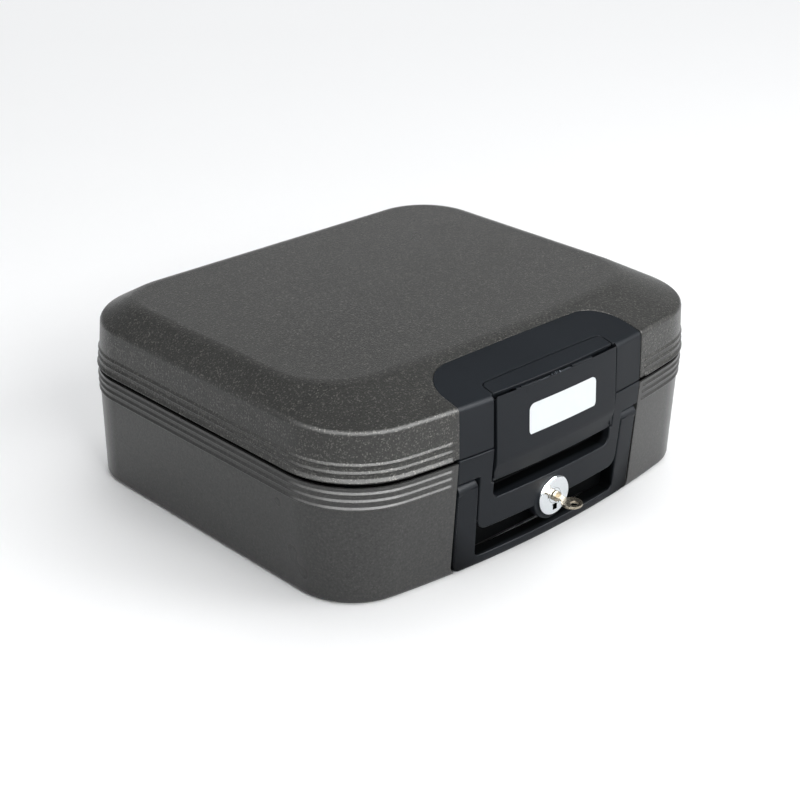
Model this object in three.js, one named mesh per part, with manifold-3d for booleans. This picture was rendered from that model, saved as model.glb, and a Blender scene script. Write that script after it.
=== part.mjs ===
// Fireproof chest, in millimetres: +Z up, front towards -Y, origin under the middle of the outline.
import * as THREE from 'three';
import { mergeVertices } from 'three/addons/utils/BufferGeometryUtils.js';
import Module from 'manifold-3d';

const wasm = await Module();
wasm.setup();

// Overall size, measured at the seam between base and lid
const width = 390;
const depth = 341;
const height = 150;
const seamZ = 96.5;
const lidSlopeRise = 14;
const foldZ = height - lidSlopeRise;
const seamGap = 2;
const baseRimZ = seamZ - seamGap / 2;
const lidRimZ = seamZ + seamGap / 2;

// The outline at the bottom, the seam, the fold and the top: insets, corner radii and front bow
const bottomSideInset = 5.7;
const bottomFrontInset = 7.3;
const bottomFrontRadius = 50;
const bottomBackRadius = 47;
const bottomBow = 876;
const seamFrontRadius = 65;
const seamBackRadius = 58;
const seamBow = 885;
const foldInset = 2;
const foldFrontInset = 1.2;
const foldFrontRadius = 63;
const foldBackRadius = 60;
const foldBow = 884;
const topInset = 25;
const topFrontInset = 59;
const topFrontRadius = 52;
const topBackRadius = 46;
const topBow = 1314;
const frontSteps = 8;
const cornerSteps = 6;
const smallestRadius = 6;

// Walls and fits
const clearance = 0.3;
const shellWall = 3;
const linerWall = 2;
const panelWall = 2.5;
const bottomRound = 4;

// Raised ribs round the shells, and the lid's flared lip
const ribHeight = 3;
const ribProud = 1;
const lowBaseRibZ = 78.2;
const midBaseRibZ = 84.2;
const highBaseRibZ = 90;
const lowLidRibZ = 105.8;
const highLidRibZ = 111.7;
const lipLowZ = 98;
const lipHighZ = 98.6;
const lipTopZ = 101.8;
const lipProud = 1.5;
const ribEndGap = 5;

// Storage space and seal, as insets from the outline
const cavity = { side: 38, front: 54, back: 38 };
const cavityDraft = 3;
const cavityFloorZ = 30;
const lidRoofDepth = 32;
const flangeDrop = 1;
const flangeThickness = 2.5;
const gasketInset = { side: 15, front: 39, back: 15 };
const gasketWidth = 8;
const gasketDepth = 3.5;
const gasketRise = 0.3;

// Front panel of the base, and the pocket that holds it
const panelHalf = 98;
const panelPocketDepth = 30.5;
const panelFloorZ = 9.6;
const panelNarrowHalf = 77;
const shoulderZ = 76.5;
const recessDepth = 20.5;
const latchRecessHalf = 65.5;
const strikeWallDepth = 14.5;
const strikeWallZ = 84.5;
const slotHalf = 63;
const slotLowZ = 54;
const slotHighZ = 68;
const lockBarLowZ = 31;
const lockBarCornerRadius = 9;

// Key lock
const lockZ = 34.4;
const lockFaceRadius = 15.75;
const lockFaceThickness = 3;
const lockFaceOut = 3.4;
const lockBossRadius = 19.5;
const lockBarrelRadius = 9.5;
const lockBarrelLength = 18.7;
const lockNotchSize = 4.6;
const lockNotchDrop = 9.1;
const lockNotchDepth = 1.8;
const lockNutRadius = 13.5;
const lockNutThickness = 4;
const plugRadius = 6;
const plugTailRadius = 3;
const keywayWidth = 8.6;
const keywayHeight = 2.4;
const keywayDepth = 15.3;
const camLength = 37;
const camWidth = 12;
const camThickness = 2;
const camScrewHeadRadius = 4.5;
const camScrewHeadThickness = 2;
const camScrewRadius = 1.5;
const camScrewLength = 5;

// Key
const keyBladeWidth = 8;
const keyBladeThickness = 1.8;
const keyBladeLength = 14.8;
const keyCollarRadius = 4;
const keyCollarLength = 2.5;
const keyShankWidth = 6;
const keyBowRadius = 8;
const keyBowThickness = 2;
const keyBowReach = 16.2;
const keyHoleRadius = 3.05;
const keyHoleReach = 18.2;

// Carrying handle
const handleSideGap = 1;
const handleArmOuter = 96.5;
const handleThickness = 12;
const handleLowZ = 1;
const handleBarHighZ = 9;
const handleCornerRadius = 8;
const handleGapRadius = 4;
const handlePivotZ = 69;
const handlePivotDepth = 12.5;
const handleEyeRadius = 6;
const handlePinRadius = 2;
const handlePinReach = 6;

// Lid bezel, its latch well and the cap strip
const bezelHalf = 97.5;
const bezelBackY = -120;
const bezelCornerRadius = 30;
const bezelSink = 0.5;
const bezelThickness = 3.5;
const wellHalf = 66;
const wellDepth = 13;
const wellRoofDrop = 1.4;
const wellWall = 2.5;
const capHalf = 63;
const capFrontDepth = 3.5;
const capBackY = -151;
const capThickness = 2;
const capCornerRadius = 4;

// Latch flap
const latchHalf = 64;
const latchTopDrop = 0.2;
const latchCreaseZ = 81.5;
const latchLowZ = 68;
const latchProud = 0.8;
const latchTopDepth = 0.7;
const latchLipDepth = 3.5;
const latchSkin = 3;
const latchReturnWall = 2.2;
const latchReturnDepth = 7;
const latchPivotDrop = 5.2;
const latchPivotDepth = 8;
const latchEyeRadius = 3.4;
const latchEyeInner = 18;
const latchEyeOuter = 36;
const latchLugWidth = 4.5;
const latchPinRadius = 1.8;
const hookHalf = 20;
const hookHeight = 3.2;
const hookDepth = 12.3;
const keeperHalf = 7;
const keeperHeight = 3;
const keeperThickness = 2;
const keeperDrop = 6;
const keeperWindowHalf = 9;
const keeperWindowDrop = 5;

// Label on the latch
const labelCentreX = 3.3;
const labelWidth = 72;
const labelHeight = 25;
const labelCentreZ = 107.6;
const labelThickness = 0.4;
const labelCornerRadius = 4;

// Latch spring
const springWireRadius = 0.6;
const springCoilRadius = 2.9;
const springTurns = 5.5;
const springPitch = 2;
const springFrontLeg = 2.2;
const springRearLeg = 3.2;

// Strike
const strikeHalf = 22;
const strikeThickness = 1.3;
const strikeLipLength = 5;
const strikeLipZ = 83;
const strikeTopZ = 94;
const strikeScrewX = 13;
const strikeScrewZ = 89.5;

// Hinges
const hingeX = 105;
const hingeWidth = 50;
const hingeOut = 6.5;
const hingeKnuckleRadius = 5.5;
const hingeKnuckles = 5;
const hingeLeafThickness = 2.5;
const hingeBaseLeafZ = 70;
const hingeLidLeafZ = 119;
const hingePinRadius = 2.5;
const hingePinHeadRadius = 4;
const hingePinHeadThickness = 1.5;
const hingeScrewX = 15;
const hingeScrewDrop = 18;
const hingeScrewRise = 15;
const hingePadMargin = 1;
const screwBossRadius = 5;
const screwBossDepth = 13;

// Screws
const largeScrew = { radius: 1.9, length: 14, headRadius: 3.8, headThickness: 2 };
const smallScrew = { radius: 1.2, length: 7, headRadius: 2.4, headThickness: 1.3 };
const screwHoleGap = 0.4;

// Sizes larger than the whole chest, for cuts that pass right through
const far = 400;

// The outline at each named height, and the ribs between them
const levels = [
  {
    z: 0,
    side: bottomSideInset,
    front: bottomFrontInset,
    back: 0,
    frontRadius: bottomFrontRadius,
    backRadius: bottomBackRadius,
    bow: bottomBow,
  },
  { z: seamZ, side: 0, front: 0, back: 0, frontRadius: seamFrontRadius, backRadius: seamBackRadius, bow: seamBow },
  {
    z: foldZ,
    side: foldInset,
    front: foldFrontInset,
    back: foldInset,
    frontRadius: foldFrontRadius,
    backRadius: foldBackRadius,
    bow: foldBow,
  },
  {
    z: height,
    side: topInset,
    front: topFrontInset,
    back: topInset,
    frontRadius: topFrontRadius,
    backRadius: topBackRadius,
    bow: topBow,
  },
];
const baseRibs = [lowBaseRibZ, midBaseRibZ, highBaseRibZ];
const lidRibs = [lowLidRibZ, highLidRibZ];

// Places worked out from the sizes above
const cavityRoofZ = height - lidRoofDepth;
const handleArmInner = panelNarrowHalf + handleSideGap;
const handlePinInner = panelNarrowHalf - handlePinReach;
const wellRoofZ = foldZ - wellRoofDrop;
const latchTopZ = foldZ - latchTopDrop;
const latchPivotZ = foldZ - latchPivotDrop;
const crownY = -depth / 2;
const rearY = depth / 2;
const panelPocketY = crownY + panelPocketDepth;
const recessY = crownY + recessDepth;
const strikeWallY = crownY + strikeWallDepth;
const handlePivotY = crownY + handlePivotDepth;
const latchPivotY = crownY + latchPivotDepth;
const wellBackY = crownY + wellDepth;
const hingeY = rearY + hingeOut;
const flangeTopZ = baseRimZ - flangeDrop;
const bezelBackDepth = bezelSink + bezelThickness;
const lockFaceY = crownY + levelAt(lockZ).front - lockFaceOut;
const lockSeatY = lockFaceY + lockFaceThickness + clearance;
const lockBarrelEndY = lockFaceY + lockFaceThickness + lockBarrelLength;
const camFrontY = lockBarrelEndY + 2 * clearance;
const camBackY = camFrontY + camThickness;
const keeperHookY = camBackY + 2 * clearance;
const keeperLowZ = lockZ + camLength + 2 * clearance;

// How far an inner skin's fold drops and its top edge moves in, for each millimetre that it lies inside
const foldDrop = 0.7;
const topShift = 0.2;

// Colours and finishes
const finish = (color, roughness, metalness) =>
  new THREE.MeshStandardMaterial({ color, roughness, metalness, flatShading: true });
const graphite = () => finish(0x58595a, 0.5, 0.35);
const blackPlastic = () => finish(0x2c2d30, 0.6, 0);
const grayPlastic = () => finish(0x4a4b4d, 0.7, 0);
const filling = () => finish(0xc9c4b8, 0.95, 0);
const sealRubber = () => finish(0x17181a, 0.85, 0);
const brightSteel = () => finish(0xc4c8cb, 0.3, 0.9);
const chrome = () => finish(0xd8dcdf, 0.12, 1);
const nickel = () => finish(0xb9b4a6, 0.3, 0.95);
const labelWhite = () => finish(0xf2f3f2, 0.55, 0);

// The outline's sizes at a height, straight-lined between the named levels
function levelAt(z) {
  let upper = 1;
  while (upper < levels.length - 1 && z > levels[upper].z) {
    upper += 1;
  }
  const low = levels[upper - 1];
  const high = levels[upper];
  const share = (z - low.z) / (high.z - low.z);
  return Object.fromEntries(Object.keys(low).map((key) => [key, low[key] + share * (high[key] - low[key])]));
}

// A plain solid from a three.js geometry
function solid(geometry) {
  const bare = geometry.clone();
  bare.deleteAttribute('normal');
  bare.deleteAttribute('uv');
  const merged = mergeVertices(bare, 1e-4);
  return new wasm.Manifold(new wasm.Mesh({
    numProp: 3,
    vertProperties: merged.getAttribute('position').array,
    triVerts: Uint32Array.from(merged.index.array),
  }));
}

function box(x0, x1, y0, y1, z0, z1) {
  const geometry = new THREE.BoxGeometry(x1 - x0, y1 - y0, z1 - z0);
  geometry.translate((x0 + x1) / 2, (y0 + y1) / 2, (z0 + z1) / 2);
  return solid(geometry);
}

// A box that is the same to the left and the right
function middleBox(half, y0, y1, z0, z1) {
  return box(-half, half, y0, y1, z0, z1);
}

// A cylinder along Y, which may taper from its front radius to its rear one
function rodY(radius, y0, y1, x, z, rearRadius = radius, sides = 24) {
  const geometry = new THREE.CylinderGeometry(rearRadius, radius, y1 - y0, sides);
  geometry.translate(x, (y0 + y1) / 2, z);
  return solid(geometry);
}

// A cylinder along X
function rodX(radius, x0, x1, y, z, sides = 16) {
  const geometry = new THREE.CylinderGeometry(radius, radius, x1 - x0, sides);
  geometry.rotateZ(Math.PI / 2);
  geometry.translate((x0 + x1) / 2, y, z);
  return solid(geometry);
}

// A rectangle with its own radius at the low and the high corners, as a three.js shape
function roundedShape(x0, x1, v0, v1, lowRadius, highRadius) {
  const shape = new THREE.Shape();
  const corner = (x, v, radius, start) => {
    if (radius > 0) {
      shape.absarc(x, v, radius, start, start + Math.PI / 2, false);
    } else {
      shape.lineTo(x, v);
    }
  };
  shape.moveTo(x0 + lowRadius, v0);
  corner(x1 - lowRadius, v0 + lowRadius, lowRadius, -Math.PI / 2);
  corner(x1 - highRadius, v1 - highRadius, highRadius, 0);
  corner(x0 + highRadius, v1 - highRadius, highRadius, Math.PI / 2);
  corner(x0 + lowRadius, v0 + lowRadius, lowRadius, Math.PI);
  return shape;
}

// A rounded rectangle seen from the front, standing from y0 back to y1
function slab(x0, x1, z0, z1, y0, y1, lowRadius, highRadius = lowRadius) {
  const shape = roundedShape(x0, x1, z0, z1, lowRadius, highRadius);
  const geometry = new THREE.ExtrudeGeometry(shape, { depth: y1 - y0, bevelEnabled: false, curveSegments: 2 });
  geometry.rotateX(Math.PI / 2);
  geometry.translate(0, y1, 0);
  return solid(geometry);
}

// A rounded rectangle seen from above, standing through every height
function column(half, backY, radius) {
  const shape = roundedShape(-half, half, -far, backY, 0, radius);
  const geometry = new THREE.ExtrudeGeometry(shape, { depth: 2 * far, bevelEnabled: false, curveSegments: 3 });
  geometry.translate(0, 0, -far);
  return solid(geometry);
}

// One closed outline at height z, moved inward by inset and shaped as the chest is at shapeZ
function ring(z, inset = 0, shapeZ = z) {
  const level = levelAt(shapeZ);
  const { side, front, back } = typeof inset === 'number' ? { side: inset, front: inset, back: inset } : inset;
  const half = width / 2 - level.side - side;
  const rear = rearY - level.back - back;
  const bow = level.bow - front;
  const bowY = crownY + level.front + front + bow;
  const frontRadius = Math.max(level.frontRadius - side, smallestRadius);
  const backRadius = Math.max(level.backRadius - side, smallestRadius);
  const reach = half - frontRadius;
  const lean = Math.asin(reach / (bow - frontRadius));
  const cornerY = bowY - (bow - frontRadius) * Math.cos(lean);
  const points = [];
  const arc = (x, y, radius, start, end, steps, first, last) => {
    for (let i = first; i <= last; i += 1) {
      const angle = start + ((end - start) * i) / steps;
      points.push([x + radius * Math.sin(angle), y - radius * Math.cos(angle), z]);
    }
  };
  const turn = Math.PI / 2;
  arc(0, bowY, bow, -lean, lean, frontSteps, 0, frontSteps);
  arc(reach, cornerY, frontRadius, lean, turn, cornerSteps, 1, cornerSteps);
  arc(half - backRadius, rear - backRadius, backRadius, turn, 2 * turn, cornerSteps, 0, cornerSteps);
  arc(backRadius - half, rear - backRadius, backRadius, 2 * turn, 3 * turn, cornerSteps, 0, cornerSteps);
  arc(-reach, cornerY, frontRadius, 3 * turn, 4 * turn - lean, cornerSteps, 0, cornerSteps - 1);
  return points;
}

// A solid through a stack of outlines, capped at both ends or closed on itself
function loft(rings, closed = false) {
  const count = rings[0].length;
  const index = [];
  const bands = closed ? rings.length : rings.length - 1;
  for (let band = 0; band < bands; band += 1) {
    const low = band * count;
    const high = ((band + 1) % rings.length) * count;
    for (let i = 0; i < count; i += 1) {
      const next = (i + 1) % count;
      index.push(low + i, low + next, high + next);
      index.push(low + i, high + next, high + i);
    }
  }
  const last = (rings.length - 1) * count;
  for (let i = 1; !closed && i < count - 1; i += 1) {
    index.push(0, i + 1, i);
    index.push(last, last + i, last + i + 1);
  }
  const geometry = new THREE.BufferGeometry();
  geometry.setAttribute('position', new THREE.Float32BufferAttribute(rings.flat(2), 3));
  geometry.setIndex(index);
  return solid(geometry);
}

// An inset larger than another by the same amount all round
function deeper(inset, extra) {
  return { side: inset.side + extra, front: inset.front + extra, back: inset.back + extra };
}

// A band that follows the outline between two insets
function band(inset, bandWidth, z0, z1) {
  const inner = deeper(inset, bandWidth);
  return loft([
    ring(z0, inset, seamZ),
    ring(z1, inset, seamZ),
    ring(z1, inner, seamZ),
    ring(z0, inner, seamZ),
  ], true);
}

// A front-following profile: its side view is swept across the bow, in the same steps as the latch
function bowed(profile, half, bow) {
  const shape = new THREE.Shape(profile.map(([y, z]) => new THREE.Vector2(y, z)));
  const geometry = new THREE.ExtrudeGeometry(shape, { depth: 2 * half, steps: frontSteps, bevelEnabled: false });
  const place = geometry.getAttribute('position');
  for (let i = 0; i < place.count; i += 1) {
    const x = place.getZ(i) - half;
    const sag = bow - Math.sqrt(bow * bow - x * x);
    place.setXYZ(i, x, place.getX(i) + sag, place.getY(i));
  }
  return solid(geometry);
}

// One named piece of the chest
function piece(name, shape, material, position = [0, 0, 0]) {
  const { vertProperties, triVerts } = shape.getMesh();
  const geometry = new THREE.BufferGeometry();
  geometry.setAttribute('position', new THREE.Float32BufferAttribute(vertProperties, 3));
  geometry.setIndex(Array.from(triVerts));
  geometry.computeVertexNormals();
  const mesh = new THREE.Mesh(geometry, material);
  mesh.name = name;
  mesh.position.set(...position);
  return mesh;
}

// Base casing, as solids that lie inside its outer surface by an inset
function baseSolid(inset, topZ) {
  const round = Math.max(bottomRound - inset, 1);
  const rings = [
    ring(inset, inset + round),
    ring(inset + 0.3 * round, inset + 0.3 * round),
    ring(inset + round, inset),
    ring(Math.min(topZ, baseRimZ), inset),
  ];
  if (topZ > baseRimZ) {
    rings.push(ring(topZ, inset, baseRimZ));
  }
  return loft(rings);
}

function baseBody(inset, topZ) {
  const pocket = middleBox(panelHalf + inset, -far, panelPocketY + inset, -far, far);
  return baseSolid(inset, topZ).subtract(pocket);
}

// A standing wall surface without the bottom edge's rounding
function wallSolid(inset) {
  return loft([ring(-far / 10, inset), ring(far / 3, inset, seamZ)]);
}

// Lid casing, in the same way
function lidSolid(inset, bottomZ) {
  const top = topShift * inset;
  const rings = [
    ring(foldZ - foldDrop * inset, inset, foldZ),
    ring(height - inset, top, height),
  ];
  rings.unshift(ring(Math.max(bottomZ, lidRimZ), inset));
  if (bottomZ < lidRimZ) {
    rings.unshift(ring(bottomZ, inset, lidRimZ));
  }
  return loft(rings);
}

// The lid's front pocket: shallow under the bezel, deep behind the latch
function bezelPocket(inset, bottomZ) {
  const outline = column(bezelHalf + inset, bezelBackY + inset, bezelCornerRadius + inset);
  const shallow = outline.subtract(lidSolid(bezelBackDepth + clearance + inset, bottomZ - 1));
  const wall = wellWall + clearance + inset;
  const well = middleBox(wellHalf + wall, -far, wellBackY + wall, -far, wellRoofZ + wall);
  return shallow.add(well);
}

function lidBody(inset, bottomZ) {
  return lidSolid(inset, bottomZ).subtract(bezelPocket(inset, bottomZ));
}

// Ribs and lip stop short of the black front parts and of the hinges
function ribRings(z) {
  const half = ribHeight / 2;
  return [ring(z - half), ring(z - half / 3, -ribProud), ring(z + half)];
}

function ribRelief() {
  let relief = middleBox(panelHalf + ribEndGap, -far, 0, -far, far);
  for (const x of [-hingeX, hingeX]) {
    const half = hingeWidth / 2 + 2 * hingePadMargin;
    relief = relief.add(box(x - half, x + half, 0, far, -far, far));
  }
  return relief;
}

// Screws of the hinge leaves, and the bosses that they go into
const hingeScrews = [-hingeX, hingeX].flatMap((x) =>
  [-hingeScrewX, hingeScrewX].flatMap((offset) => [
    { x: x + offset, z: seamZ - hingeScrewDrop, lid: false },
    { x: x + offset, z: seamZ + hingeScrewRise, lid: true },
  ]));

function screwBosses(lid, grow) {
  const bossY = rearY - screwBossDepth - grow;
  return hingeScrews.filter((screw) => screw.lid === lid)
    .map(({ x, z }) => rodY(screwBossRadius + grow, bossY, rearY - shellWall / 2, x, z, undefined, 10))
    .reduce((all, boss) => all.add(boss));
}

function screwHoles(lid) {
  const endY = rearY + clearance + hingeLeafThickness + clearance - largeScrew.length - 2 * clearance;
  return hingeScrews.filter((screw) => screw.lid === lid)
    .map(({ x, z }) => rodY(largeScrew.radius + screwHoleGap, endY, far, x, z, undefined, 10))
    .reduce((all, hole) => all.add(hole));
}

function handlePinHoles() {
  const radius = handlePinRadius + clearance;
  const outer = panelHalf + shellWall + 1;
  const inner = handlePinInner - 1;
  return rodX(radius, inner, outer, handlePivotY, handlePivotZ)
    .add(rodX(radius, -outer, -inner, handlePivotY, handlePivotZ));
}

function makeBaseShell() {
  const ribbed = loft([
    ring(0, bottomRound),
    ring(0.3 * bottomRound, 0.3 * bottomRound),
    ring(bottomRound),
    ...baseRibs.flatMap(ribRings),
    ring(baseRimZ),
  ]);
  const pocket = middleBox(panelHalf, -far, panelPocketY, -far, far);
  return baseSolid(0, baseRimZ)
    .add(ribbed.subtract(ribRelief()))
    .subtract(pocket)
    .subtract(baseBody(shellWall, baseRimZ + shellWall))
    .add(screwBosses(false, 0))
    .subtract(screwHoles(false))
    .subtract(handlePinHoles());
}

// Storage trays: a tub with a flange that reaches out to the shell
const tubWall = (inset) => deeper(inset, -linerWall);
const seatInset = deeper(gasketInset, -linerWall);
const seatWidth = gasketWidth + 2 * linerWall;
const seatLowZ = flangeTopZ - gasketDepth - linerWall;

function baseTub(grow) {
  const outer = deeper(cavity, -linerWall - grow);
  const floorZ = cavityFloorZ - linerWall - grow;
  return loft([ring(floorZ, deeper(outer, cavityDraft), seamZ), ring(flangeTopZ, outer, seamZ)]);
}

function baseLinerSeat(grow) {
  const inset = deeper(seatInset, -grow);
  return band(inset, seatWidth + 2 * grow, seatLowZ - grow, flangeTopZ);
}

function makeBaseLiner() {
  const flange = baseBody(shellWall + clearance, flangeTopZ)
    .subtract(middleBox(far, -far, far, -far, flangeTopZ - flangeThickness));
  const hollow = loft([
    ring(cavityFloorZ, deeper(cavity, cavityDraft), seamZ),
    ring(flangeTopZ, cavity, seamZ),
    ring(flangeTopZ + linerWall, cavity, seamZ),
  ]);
  const groove = band(gasketInset, gasketWidth, flangeTopZ - gasketDepth, flangeTopZ + linerWall);
  return flange.add(baseTub(0)).add(baseLinerSeat(0)).subtract(hollow).subtract(groove);
}

function makeBaseInsulation() {
  return baseBody(shellWall + clearance, flangeTopZ - flangeThickness - clearance)
    .subtract(baseTub(clearance))
    .subtract(baseLinerSeat(clearance))
    .subtract(screwBosses(false, clearance));
}

function makeGasket() {
  const inset = deeper(gasketInset, clearance);
  const lowZ = flangeTopZ - gasketDepth + clearance;
  return band(inset, gasketWidth - 2 * clearance, lowZ, flangeTopZ + gasketRise);
}

// Front panel: the same body at two insets makes a moulding of even wall
function panelBody(inset) {
  const backY = panelPocketY - clearance + (inset > 0 ? far : 0);
  const wide = panelHalf - clearance - inset;
  const topZ = baseRimZ - clearance - inset;
  const face = baseSolid(inset, topZ)
    .intersect(middleBox(wide, -far, backY, panelFloorZ + inset, far));
  const sides = middleBox(far, -far, far, -far, shoulderZ + inset)
    .subtract(slab(inset - panelNarrowHalf, panelNarrowHalf - inset, panelFloorZ + inset, far,
      -far, far, handleGapRadius - 1 - inset / 2, 0));
  const latchRecess = middleBox(latchRecessHalf + inset, -far, strikeWallY + inset, slotHighZ - inset, far);
  const slot = slab(-slotHalf - inset, slotHalf + inset, slotLowZ - inset, strikeWallZ + inset,
    -far, recessY + inset, 3 + inset, 0);
  const room = middleBox(panelHalf, -far, recessY + inset, -far, slotLowZ)
    .subtract(slab(inset - panelNarrowHalf, panelNarrowHalf - inset, lockBarLowZ + inset, far,
      -far, far, lockBarCornerRadius - inset, 0));
  const boss = rodY(lockBossRadius - inset, lockSeatY + inset, recessY + 2 * inset, 0, lockZ);
  return face.subtract(sides).subtract(latchRecess).subtract(slot).subtract(room).add(boss);
}

function makeFrontPanel() {
  const windowLowZ = keeperLowZ - keeperDrop - keeperWindowDrop;
  const windowHighZ = keeperLowZ + keeperHeight + keeperWindowDrop / 2;
  const keeperWindow = middleBox(keeperWindowHalf, recessY - 1, recessY + 2 * panelWall,
    windowLowZ, windowHighZ);
  let panel = panelBody(0)
    .subtract(panelBody(panelWall))
    .subtract(rodY(lockFaceRadius + clearance, -far, lockSeatY, 0, lockZ))
    .subtract(rodY(lockBarrelRadius + clearance, -far, recessY, 0, lockZ))
    .subtract(keeperWindow)
    .subtract(handlePinHoles());
  for (const x of [-strikeScrewX, strikeScrewX]) {
    const hole = smallScrew.radius + screwHoleGap;
    panel = panel.subtract(rodY(hole, strikeWallY - 1, panelPocketY, x, strikeScrewZ, undefined, 10));
  }
  return panel;
}

// Strike: a steel angle whose lip holds the latch's hook down
const strikeFrontY = strikeWallY - clearance - strikeThickness;

function makeStrike() {
  let strike = middleBox(strikeHalf, strikeFrontY, strikeWallY - clearance, strikeLipZ, strikeTopZ)
    .add(middleBox(strikeHalf, strikeFrontY - strikeLipLength, strikeFrontY + strikeThickness / 2,
      strikeLipZ, strikeLipZ + strikeThickness));
  for (const x of [-strikeScrewX, strikeScrewX]) {
    const hole = smallScrew.radius + screwHoleGap;
    strike = strike.subtract(rodY(hole, strikeFrontY - 1, strikeWallY + 1, x, strikeScrewZ, undefined, 10));
  }
  return strike;
}

// A pan-head screw along Y whose head stands in front of or behind y = 0
function makeScrew({ radius, length, headRadius, headThickness }, towards) {
  const span = (from, to) => (towards > 0 ? [from, to] : [-to, -from]);
  const [headFrom, headTo] = span(-headThickness, 0);
  const [shankFrom, shankTo] = span(-headThickness / 2, length);
  return rodY(headRadius, headFrom, headTo, 0, 0, undefined, 12)
    .add(rodY(radius, shankFrom, shankTo, 0, 0, undefined, 12));
}

// Key lock
function makeLockHousing() {
  const faceBackY = lockFaceY + lockFaceThickness;
  const edge = lockFaceThickness / 3;
  const half = lockNotchSize / 2;
  const notchZ = lockZ - lockNotchDrop;
  return rodY(lockFaceRadius - edge, lockFaceY, lockFaceY + edge, 0, lockZ, lockFaceRadius, 32)
    .add(rodY(lockFaceRadius, lockFaceY + edge, faceBackY, 0, lockZ, undefined, 32))
    .add(rodY(lockBarrelRadius, lockFaceY + edge, lockBarrelEndY, 0, lockZ))
    .subtract(rodY(plugRadius + clearance, -far, far, 0, lockZ))
    .subtract(slab(-half, half, notchZ - half, notchZ + half, -far, lockFaceY + lockNotchDepth, 0));
}

function makeLockNut() {
  const nutY = lockSeatY + panelWall + clearance;
  return rodY(lockNutRadius, nutY, nutY + lockNutThickness, 0, lockZ, undefined, 6)
    .subtract(rodY(lockBarrelRadius + clearance, -far, far, 0, lockZ));
}

function makeLockPlug() {
  const tailEndY = camBackY - clearance / 3;
  const keyway = box(-keywayWidth / 2, keywayWidth / 2, -far, lockFaceY + keywayDepth,
    lockZ - keywayHeight / 2, lockZ + keywayHeight / 2);
  const screwHole = rodY(camScrewRadius + screwHoleGap, tailEndY - camScrewLength, far, 0, lockZ, undefined, 10);
  return rodY(plugRadius, lockFaceY + clearance, lockBarrelEndY, 0, lockZ)
    .add(rodY(plugTailRadius, lockBarrelEndY - 1, tailEndY, 0, lockZ, undefined, 12))
    .subtract(keyway)
    .subtract(screwHole);
}

// The cam lies sideways when the lock is open and stands up into the keeper when it is locked
function makeLockCam() {
  const half = camWidth / 2;
  return slab(-half, camLength, lockZ - half, lockZ + half, camFrontY, camBackY, half - 0.5)
    .subtract(rodY(plugTailRadius + clearance, -far, far, 0, lockZ, undefined, 12));
}

function makeCamScrew() {
  const headY = camBackY + clearance;
  return rodY(camScrewHeadRadius, headY, headY + camScrewHeadThickness, 0, lockZ, undefined, 12)
    .add(rodY(camScrewRadius, headY + 2 * clearance - camScrewLength, headY + 1, 0, lockZ, undefined, 12));
}

function makeKey() {
  const bowY = lockFaceY - keyBowReach;
  const half = keyBowThickness / 2;
  const collarBackY = lockFaceY - clearance;
  const collarFrontY = collarBackY - keyCollarLength;
  const bow = new THREE.Shape().absarc(0, bowY, keyBowRadius, 0, 2 * Math.PI, false);
  const geometry = new THREE.ExtrudeGeometry(bow, { depth: keyBowThickness, bevelEnabled: false, curveSegments: 12 });
  geometry.translate(0, 0, lockZ - half);
  const hole = new THREE.CylinderGeometry(keyHoleRadius, keyHoleRadius, 3 * keyBowThickness, 20);
  hole.rotateX(Math.PI / 2);
  hole.translate(0, lockFaceY - keyHoleReach, lockZ);
  return solid(geometry)
    .add(middleBox(keyShankWidth / 2, bowY, collarBackY - 1, lockZ - half, lockZ + half))
    .add(rodY(keyCollarRadius, collarFrontY, collarBackY, 0, lockZ, undefined, 24))
    .add(middleBox(keyBladeWidth / 2, collarBackY - 1, lockFaceY + keyBladeLength,
      lockZ - keyBladeThickness / 2, lockZ + keyBladeThickness / 2))
    .subtract(solid(hole));
}

// Carrying handle, cut from the same outer surface as the base so that it lies flush
function makeHandle() {
  const skin = baseSolid(0, baseRimZ).subtract(wallSolid(handleThickness));
  const outer = slab(-handleArmOuter, handleArmOuter, handleLowZ, handlePivotZ,
    -far, 0, handleCornerRadius, 0);
  const gap = slab(-handleArmInner, handleArmInner, handleBarHighZ, far, -far, 0, handleGapRadius, 0);
  const eyes = rodX(handleEyeRadius, -handleArmOuter, handleArmOuter, handlePivotY, handlePivotZ);
  return skin.intersect(outer).add(eyes).subtract(gap).subtract(handlePinHoles());
}

function makeHandlePin() {
  const outer = panelHalf + shellWall - clearance;
  return rodX(handlePinRadius, 0, outer - handlePinInner, 0, 0);
}

// Lid
function makeLidShell() {
  const ribbed = loft([
    ring(lidRimZ, -lipProud * 0.8),
    ring(lipLowZ, -lipProud),
    ring(lipHighZ, -lipProud),
    ring(lipTopZ),
    ...lidRibs.flatMap(ribRings),
    ring(foldZ),
    ring(height, 0, height),
  ]);
  const padHalf = hingeWidth / 2 + hingePadMargin;
  const padTopZ = hingeLidLeafZ + hingePadMargin;
  const pads = [-hingeX, hingeX]
    .map((x) => box(x - padHalf, x + padHalf, rearY - shellWall, rearY, lidRimZ, padTopZ))
    .reduce((all, pad) => all.add(pad));
  return lidSolid(0, lidRimZ)
    .add(ribbed.subtract(ribRelief()))
    .add(pads)
    .subtract(bezelPocket(0, lidRimZ))
    .subtract(lidBody(shellWall, lidRimZ - shellWall))
    .add(screwBosses(true, 0))
    .subtract(screwHoles(true));
}

function lidTub(grow) {
  const outer = deeper(cavity, -linerWall - grow);
  const roofZ = cavityRoofZ + linerWall + grow;
  return loft([ring(lidRimZ, outer, seamZ), ring(roofZ, deeper(outer, cavityDraft), seamZ)]);
}

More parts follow.
